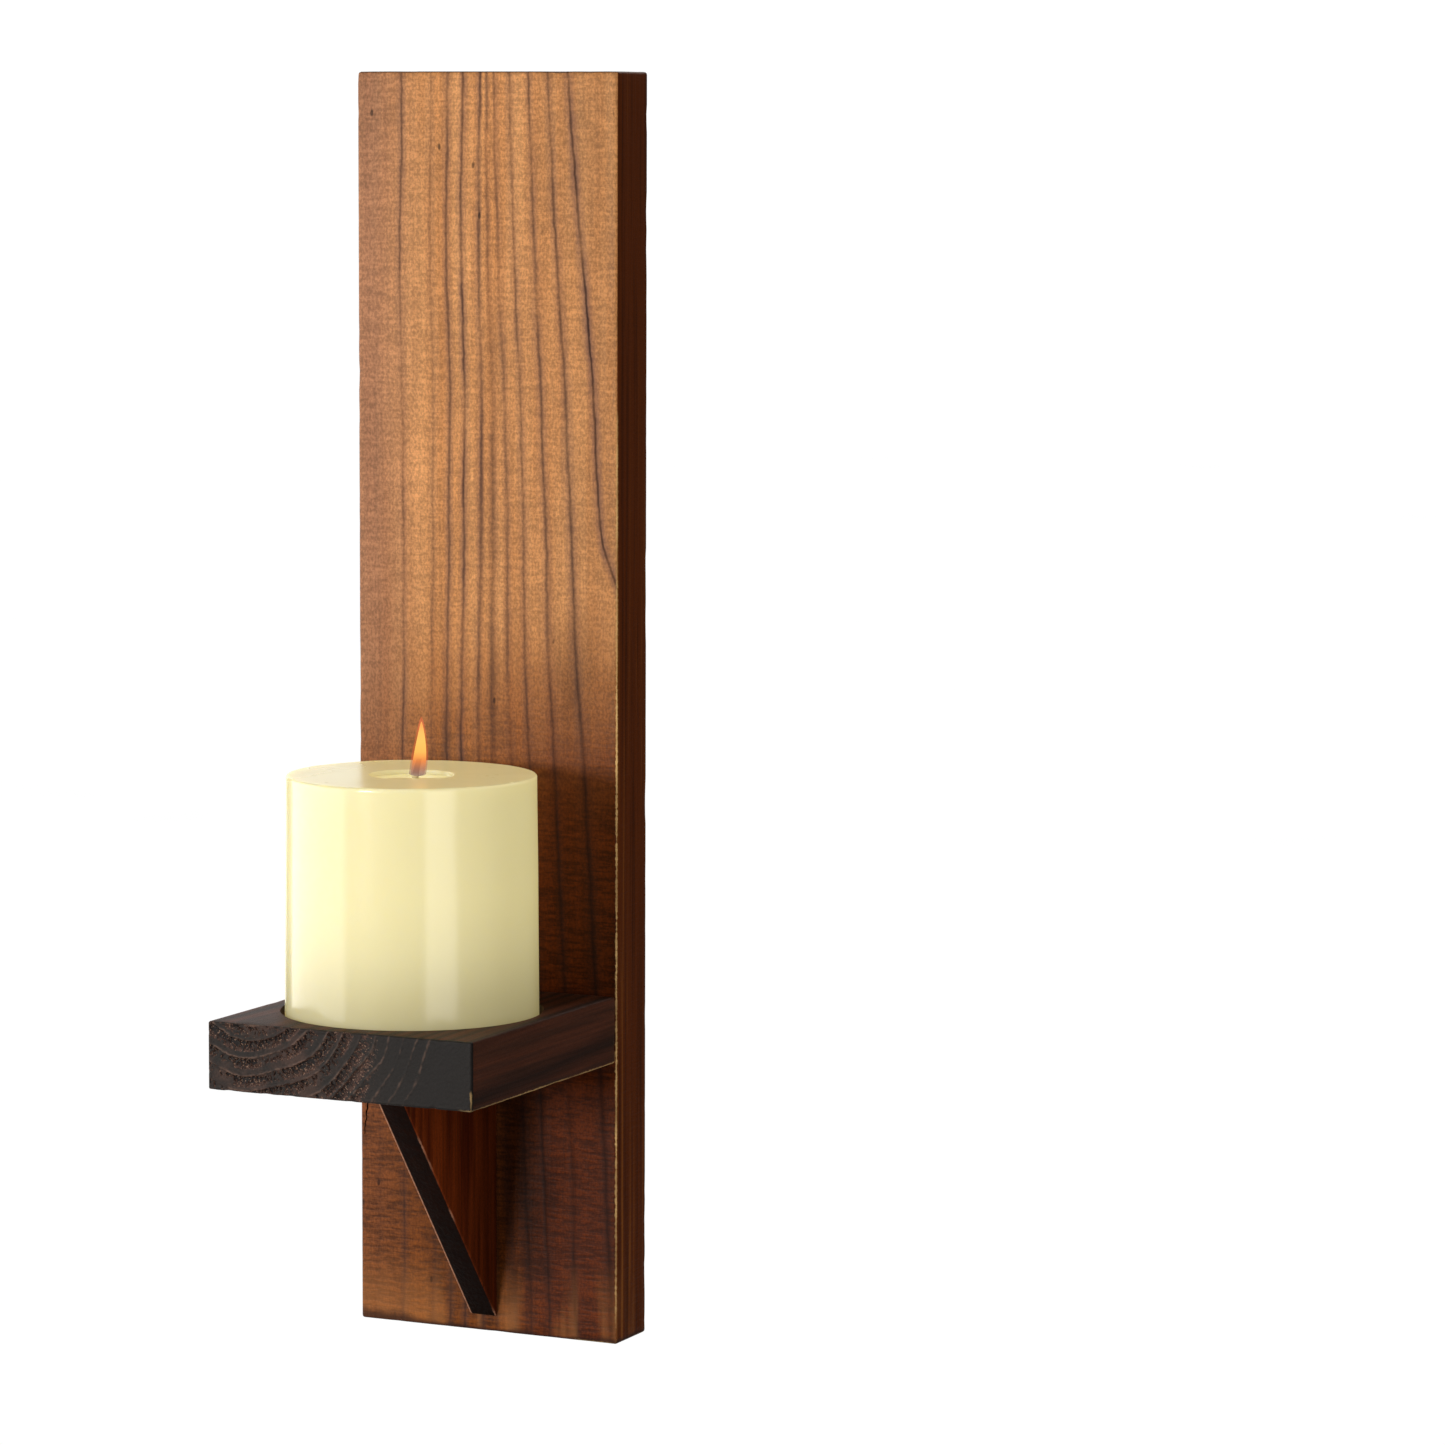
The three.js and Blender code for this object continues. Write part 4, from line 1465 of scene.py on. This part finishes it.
def screw_piece(name, metal, material):
    """One wood screw: countersunk head with a cross recess, and a threaded shank to a point."""
    head, down, depth, head_radius = screw_facts(name)
    shank = SHANK_SHARE * head_radius
    sink = head_radius - shank
    screw = rod(f"{name}_piece", shank, Vector((0, 0, 0)), Vector((0, 0, depth - sink)), sides=24)
    edit(screw)
    first_pass = max(2, round(depth / metal.thread_pitch * RINGS_PER_TURN / SECOND_PASS))
    for count in (first_pass, SECOND_PASS):
        pick(screw, "EDGE", lambda edge: lies_along(edge, 2))
        bpy.ops.mesh.subdivide(number_cuts=count - 1)
    select_cap(screw, depth - sink, 1)
    bpy.ops.mesh.extrude_region_move(TRANSFORM_OT_translate={"value": (0, 0, 0.85 * sink)})
    bpy.ops.transform.resize(value=((head_radius - 0.1 * MM) / shank,) * 2 + (1,))
    bpy.ops.mesh.extrude_region_move(TRANSFORM_OT_translate={"value": (0, 0, 0.1 * sink)})
    bpy.ops.mesh.inset(thickness=0.12 * MM, depth=0)
    bpy.ops.transform.translate(value=(0, 0, 0.05 * sink))
    leave()

    def thread(place, normal):
        if place.z > THREADED_SHARE * depth:
            return None
        arm = place.xy
        turn = place.z / metal.thread_pitch - math.atan2(arm.y, arm.x) / (2 * math.pi)
        crest = max(0.0, 1 - abs((turn % 1) - 0.5) * 5)
        runout = min(1.0, (THREADED_SHARE * depth - place.z) / (2 * MM))
        point = min(1.0, place.z / (2.4 * shank) + 0.04)
        shrink = point * (1 - 0.24 * (1 - crest) * runout) - 1
        return Vector((arm.x * shrink, arm.y * shrink, 0))

    move_points(screw, thread)
    arm_length = 1.15 * head_radius
    arm_width = 0.26 * head_radius
    bars = []
    for wide, deep in ((arm_length, arm_width), (arm_width, arm_length)):
        foot = Vector((-wide / 2, -deep / 2, depth - 0.42 * head_radius))
        bars.append(block("bar", foot, Vector((wide / 2, deep / 2, depth + 1 * MM))))
    carve(screw, bars)
    place = down.to_track_quat("-Z", "Y").to_matrix().to_4x4()
    screw.data.transform(Matrix.Translation(head + down * depth) @ place)
    outward(screw)
    smooth(screw)
    return finish_piece(screw, material, "sconce", [name])


def make_screws(metal):
    """All eight screws, each with its own mesh."""
    material = plated_material("zinc_screw", metal.zinc)
    return [screw_piece(name, metal, material) for name in BACK_SCREWS + HANGER_SCREWS + TOP_SCREWS]


# ---------------------------------------------------------------- studio


def look_at(location, target, roll=0.0):
    """The turn that points an object's -Z at a target."""
    turn = (target - location).to_track_quat("-Z", "Y")
    return (turn.to_matrix() @ Euler((0, 0, roll)).to_matrix()).to_euler()


def around(target, azimuth, elevation, distance):
    """A point seen from the target at that azimuth and elevation."""
    flat = math.cos(elevation)
    way = Vector((math.sin(azimuth) * flat, -math.cos(azimuth) * flat, math.sin(elevation)))
    return target + distance * way


def make_camera(studio):
    """The camera, aimed past the sconce's right side."""
    data = bpy.data.cameras.new("Camera")
    data.lens = studio.focal_length
    data.sensor_width = 36
    data.clip_end = 50
    camera = bpy.data.objects.new("Camera", data)
    aim = Vector(studio.aim)
    camera.location = around(aim, studio.camera_azimuth, studio.camera_height, studio.camera_distance)
    camera.rotation_euler = look_at(camera.location, aim, studio.camera_roll)
    bpy.context.scene.collection.objects.link(camera)
    bpy.context.scene.camera = camera


# Each light's name, azimuth and elevation in degrees, distance, width and height in metres, power in watts
# and colour
LIGHTS = (
    ("key_softbox", -13, 6, 1.5, 0.28, 0.28, 12.5, (1.0, 0.98, 0.95)),
    ("left_softbox", -72, 4, 1.1, 1.8, 0.95, 13.5, (1.0, 0.99, 0.97)),
    ("right_softbox", 54, 4, 1.2, 0.6, 0.9, 4.8, (1.0, 0.99, 0.97)),
    ("top_fill", -20, 66, 1.3, 0.7, 0.7, 2.0, (1.0, 1.0, 1.0)),
    ("backdrop_glow", 208, 8, 1.4, 1.0, 1.0, 3.5, (1.0, 1.0, 1.0)),
    ("back_fill", 184, 48, 1.6, 1.2, 1.0, 12.0, (1.0, 0.99, 0.97)),
)


def make_lights():
    """Soft studio lights: a key from the front left, a wide box on each side, fills above and behind."""
    target = Vector((0, BOARD[0].y - 40 * MM, -40 * MM))
    for name, azimuth, elevation, distance, width, height, power, tint in LIGHTS:
        data = bpy.data.lights.new(name, "AREA")
        data.shape = "RECTANGLE"
        data.size = width
        data.size_y = height
        data.energy = power
        data.color = tint
        lamp = bpy.data.objects.new(name, data)
        lamp.location = around(target, math.radians(azimuth), math.radians(elevation), distance)
        lamp.rotation_euler = look_at(lamp.location, target)
        bpy.context.scene.collection.objects.link(lamp)


def make_world(studio):
    """A white surround that shows white and lights the piece only softly."""
    world = bpy.data.worlds.new("Studio")
    bpy.context.scene.world = world
    world.use_nodes = True
    nodes = Tree(world.node_tree)
    seen = nodes.add("ShaderNodeLightPath").outputs["Is Camera Ray"]
    strength = nodes.plus(studio.ambient, nodes.times(seen, SURROUND_WHITE - studio.ambient))
    background = nodes.add("ShaderNodeBackground", {"Color": (1, 1, 1), "Strength": strength})
    output = nodes.add("ShaderNodeOutputWorld")
    nodes.feed(output.inputs["Surface"], background.outputs[0])


def make_floor():
    """A wide pale floor well below the sconce."""
    floor = start("studio_floor", bpy.ops.mesh.primitive_grid_add, x_subdivisions=4, y_subdivisions=4,
                  size=FLOOR_SIZE, location=(0, 0, BOARD[0].z - FLOOR_DROP))
    material, nodes, place, _ = new_material("pale_floor")
    seen = nodes.add("ShaderNodeLightPath").outputs["Is Camera Ray"]
    tone = nodes.ramp(nodes.noise(place, scale=3), [(0.0, (0.95,) * 3), (1.0, (1.0,) * 3)])
    matt = nodes.add("ShaderNodeBsdfDiffuse", {"Color": (0.4, 0.4, 0.4)})
    glow = nodes.add("ShaderNodeEmission", {"Color": tone, "Strength": FLOOR_WHITE})
    both = nodes.add("ShaderNodeMixShader")
    nodes.feed(both.inputs[0], seen)
    nodes.feed(both.inputs[1], matt.outputs[0])
    nodes.feed(both.inputs[2], glow.outputs[0])
    output = nodes.add("ShaderNodeOutputMaterial")
    nodes.feed(output.inputs["Surface"], both.outputs[0])
    floor.data.materials.append(material)


# ---------------------------------------------------------------- operators


class SCONCE_OT_backboard(bpy.types.Operator):
    """Build the backboard"""

    bl_idname = "sconce.backboard"
    bl_label = "Backboard"

    def execute(self, context):
        make_board(context.scene.sconce_wood)
        return {"FINISHED"}


class SCONCE_OT_shelf(bpy.types.Operator):
    """Build the shelf with its round recess"""

    bl_idname = "sconce.shelf"
    bl_label = "Shelf"

    def execute(self, context):
        make_shelf(context.scene.sconce_wood)
        return {"FINISHED"}


class SCONCE_OT_brace(bpy.types.Operator):
    """Build the triangular brace"""

    bl_idname = "sconce.brace"
    bl_label = "Brace"

    def execute(self, context):
        make_brace(context.scene.sconce_wood)
        return {"FINISHED"}


class SCONCE_OT_candle(bpy.types.Operator):
    """Build the pillar candle"""

    bl_idname = "sconce.candle"
    bl_label = "Candle"

    def execute(self, context):
        make_candle(context.scene.sconce_candle)
        return {"FINISHED"}


class SCONCE_OT_wick(bpy.types.Operator):
    """Build the wick and its metal tab"""

    bl_idname = "sconce.wick"
    bl_label = "Wick and tab"

    def execute(self, context):
        make_wick()
        make_wick_tab(context.scene.sconce_metal)
        return {"FINISHED"}


class SCONCE_OT_flame(bpy.types.Operator):
    """Build the flame"""

    bl_idname = "sconce.flame"
    bl_label = "Flame"

    def execute(self, context):
        make_flame(context.scene.sconce_candle)
        return {"FINISHED"}


class SCONCE_OT_hardware(bpy.types.Operator):
    """Build the keyhole hanger and the screws"""

    bl_idname = "sconce.hardware"
    bl_label = "Hanger and screws"

    def execute(self, context):
        make_hanger(context.scene.sconce_metal)
        make_screws(context.scene.sconce_metal)
        return {"FINISHED"}


class SCONCE_OT_studio(bpy.types.Operator):
    """Set up the camera, the lights and the floor"""

    bl_idname = "sconce.studio"
    bl_label = "Studio"

    def execute(self, context):
        studio = context.scene.sconce_studio
        context.scene.view_settings.view_transform = "Standard"
        make_camera(studio)
        make_lights()
        make_world(studio)
        make_floor()
        return {"FINISHED"}


OPERATORS = (
    SCONCE_OT_backboard, SCONCE_OT_shelf, SCONCE_OT_brace, SCONCE_OT_candle,
    SCONCE_OT_wick, SCONCE_OT_flame, SCONCE_OT_hardware, SCONCE_OT_studio,
)


class SCONCE_PT_panel(bpy.types.Panel):
    """The sconce's pieces, in the 3D view's sidebar"""

    bl_idname = "SCONCE_PT_panel"
    bl_label = "Torched Wood Sconce"
    bl_space_type = "VIEW_3D"
    bl_region_type = "UI"
    bl_category = "Sconce"

    def draw(self, context):
        for operator in OPERATORS:
            self.layout.operator(operator.bl_idname)


SETTINGS = {
    "sconce_wood": SconceWoodSettings,
    "sconce_candle": SconceCandleSettings,
    "sconce_metal": SconceMetalSettings,
    "sconce_studio": SconceStudioSettings,
}


def register():
    for name, settings in SETTINGS.items():
        bpy.utils.register_class(settings)
        setattr(bpy.types.Scene, name, bpy.props.PointerProperty(type=settings))
    for operator in OPERATORS:
        bpy.utils.register_class(operator)
    bpy.utils.register_class(SCONCE_PT_panel)


def unregister():
    bpy.utils.unregister_class(SCONCE_PT_panel)
    for operator in reversed(OPERATORS):
        bpy.utils.unregister_class(operator)
    for name, settings in reversed(SETTINGS.items()):
        delattr(bpy.types.Scene, name)
        bpy.utils.unregister_class(settings)


def main():
    register()
    for operator in OPERATORS:
        step = getattr(bpy.ops.sconce, operator.bl_idname.split(".")[1])
        step()


if __name__ == "__main__":
    main()
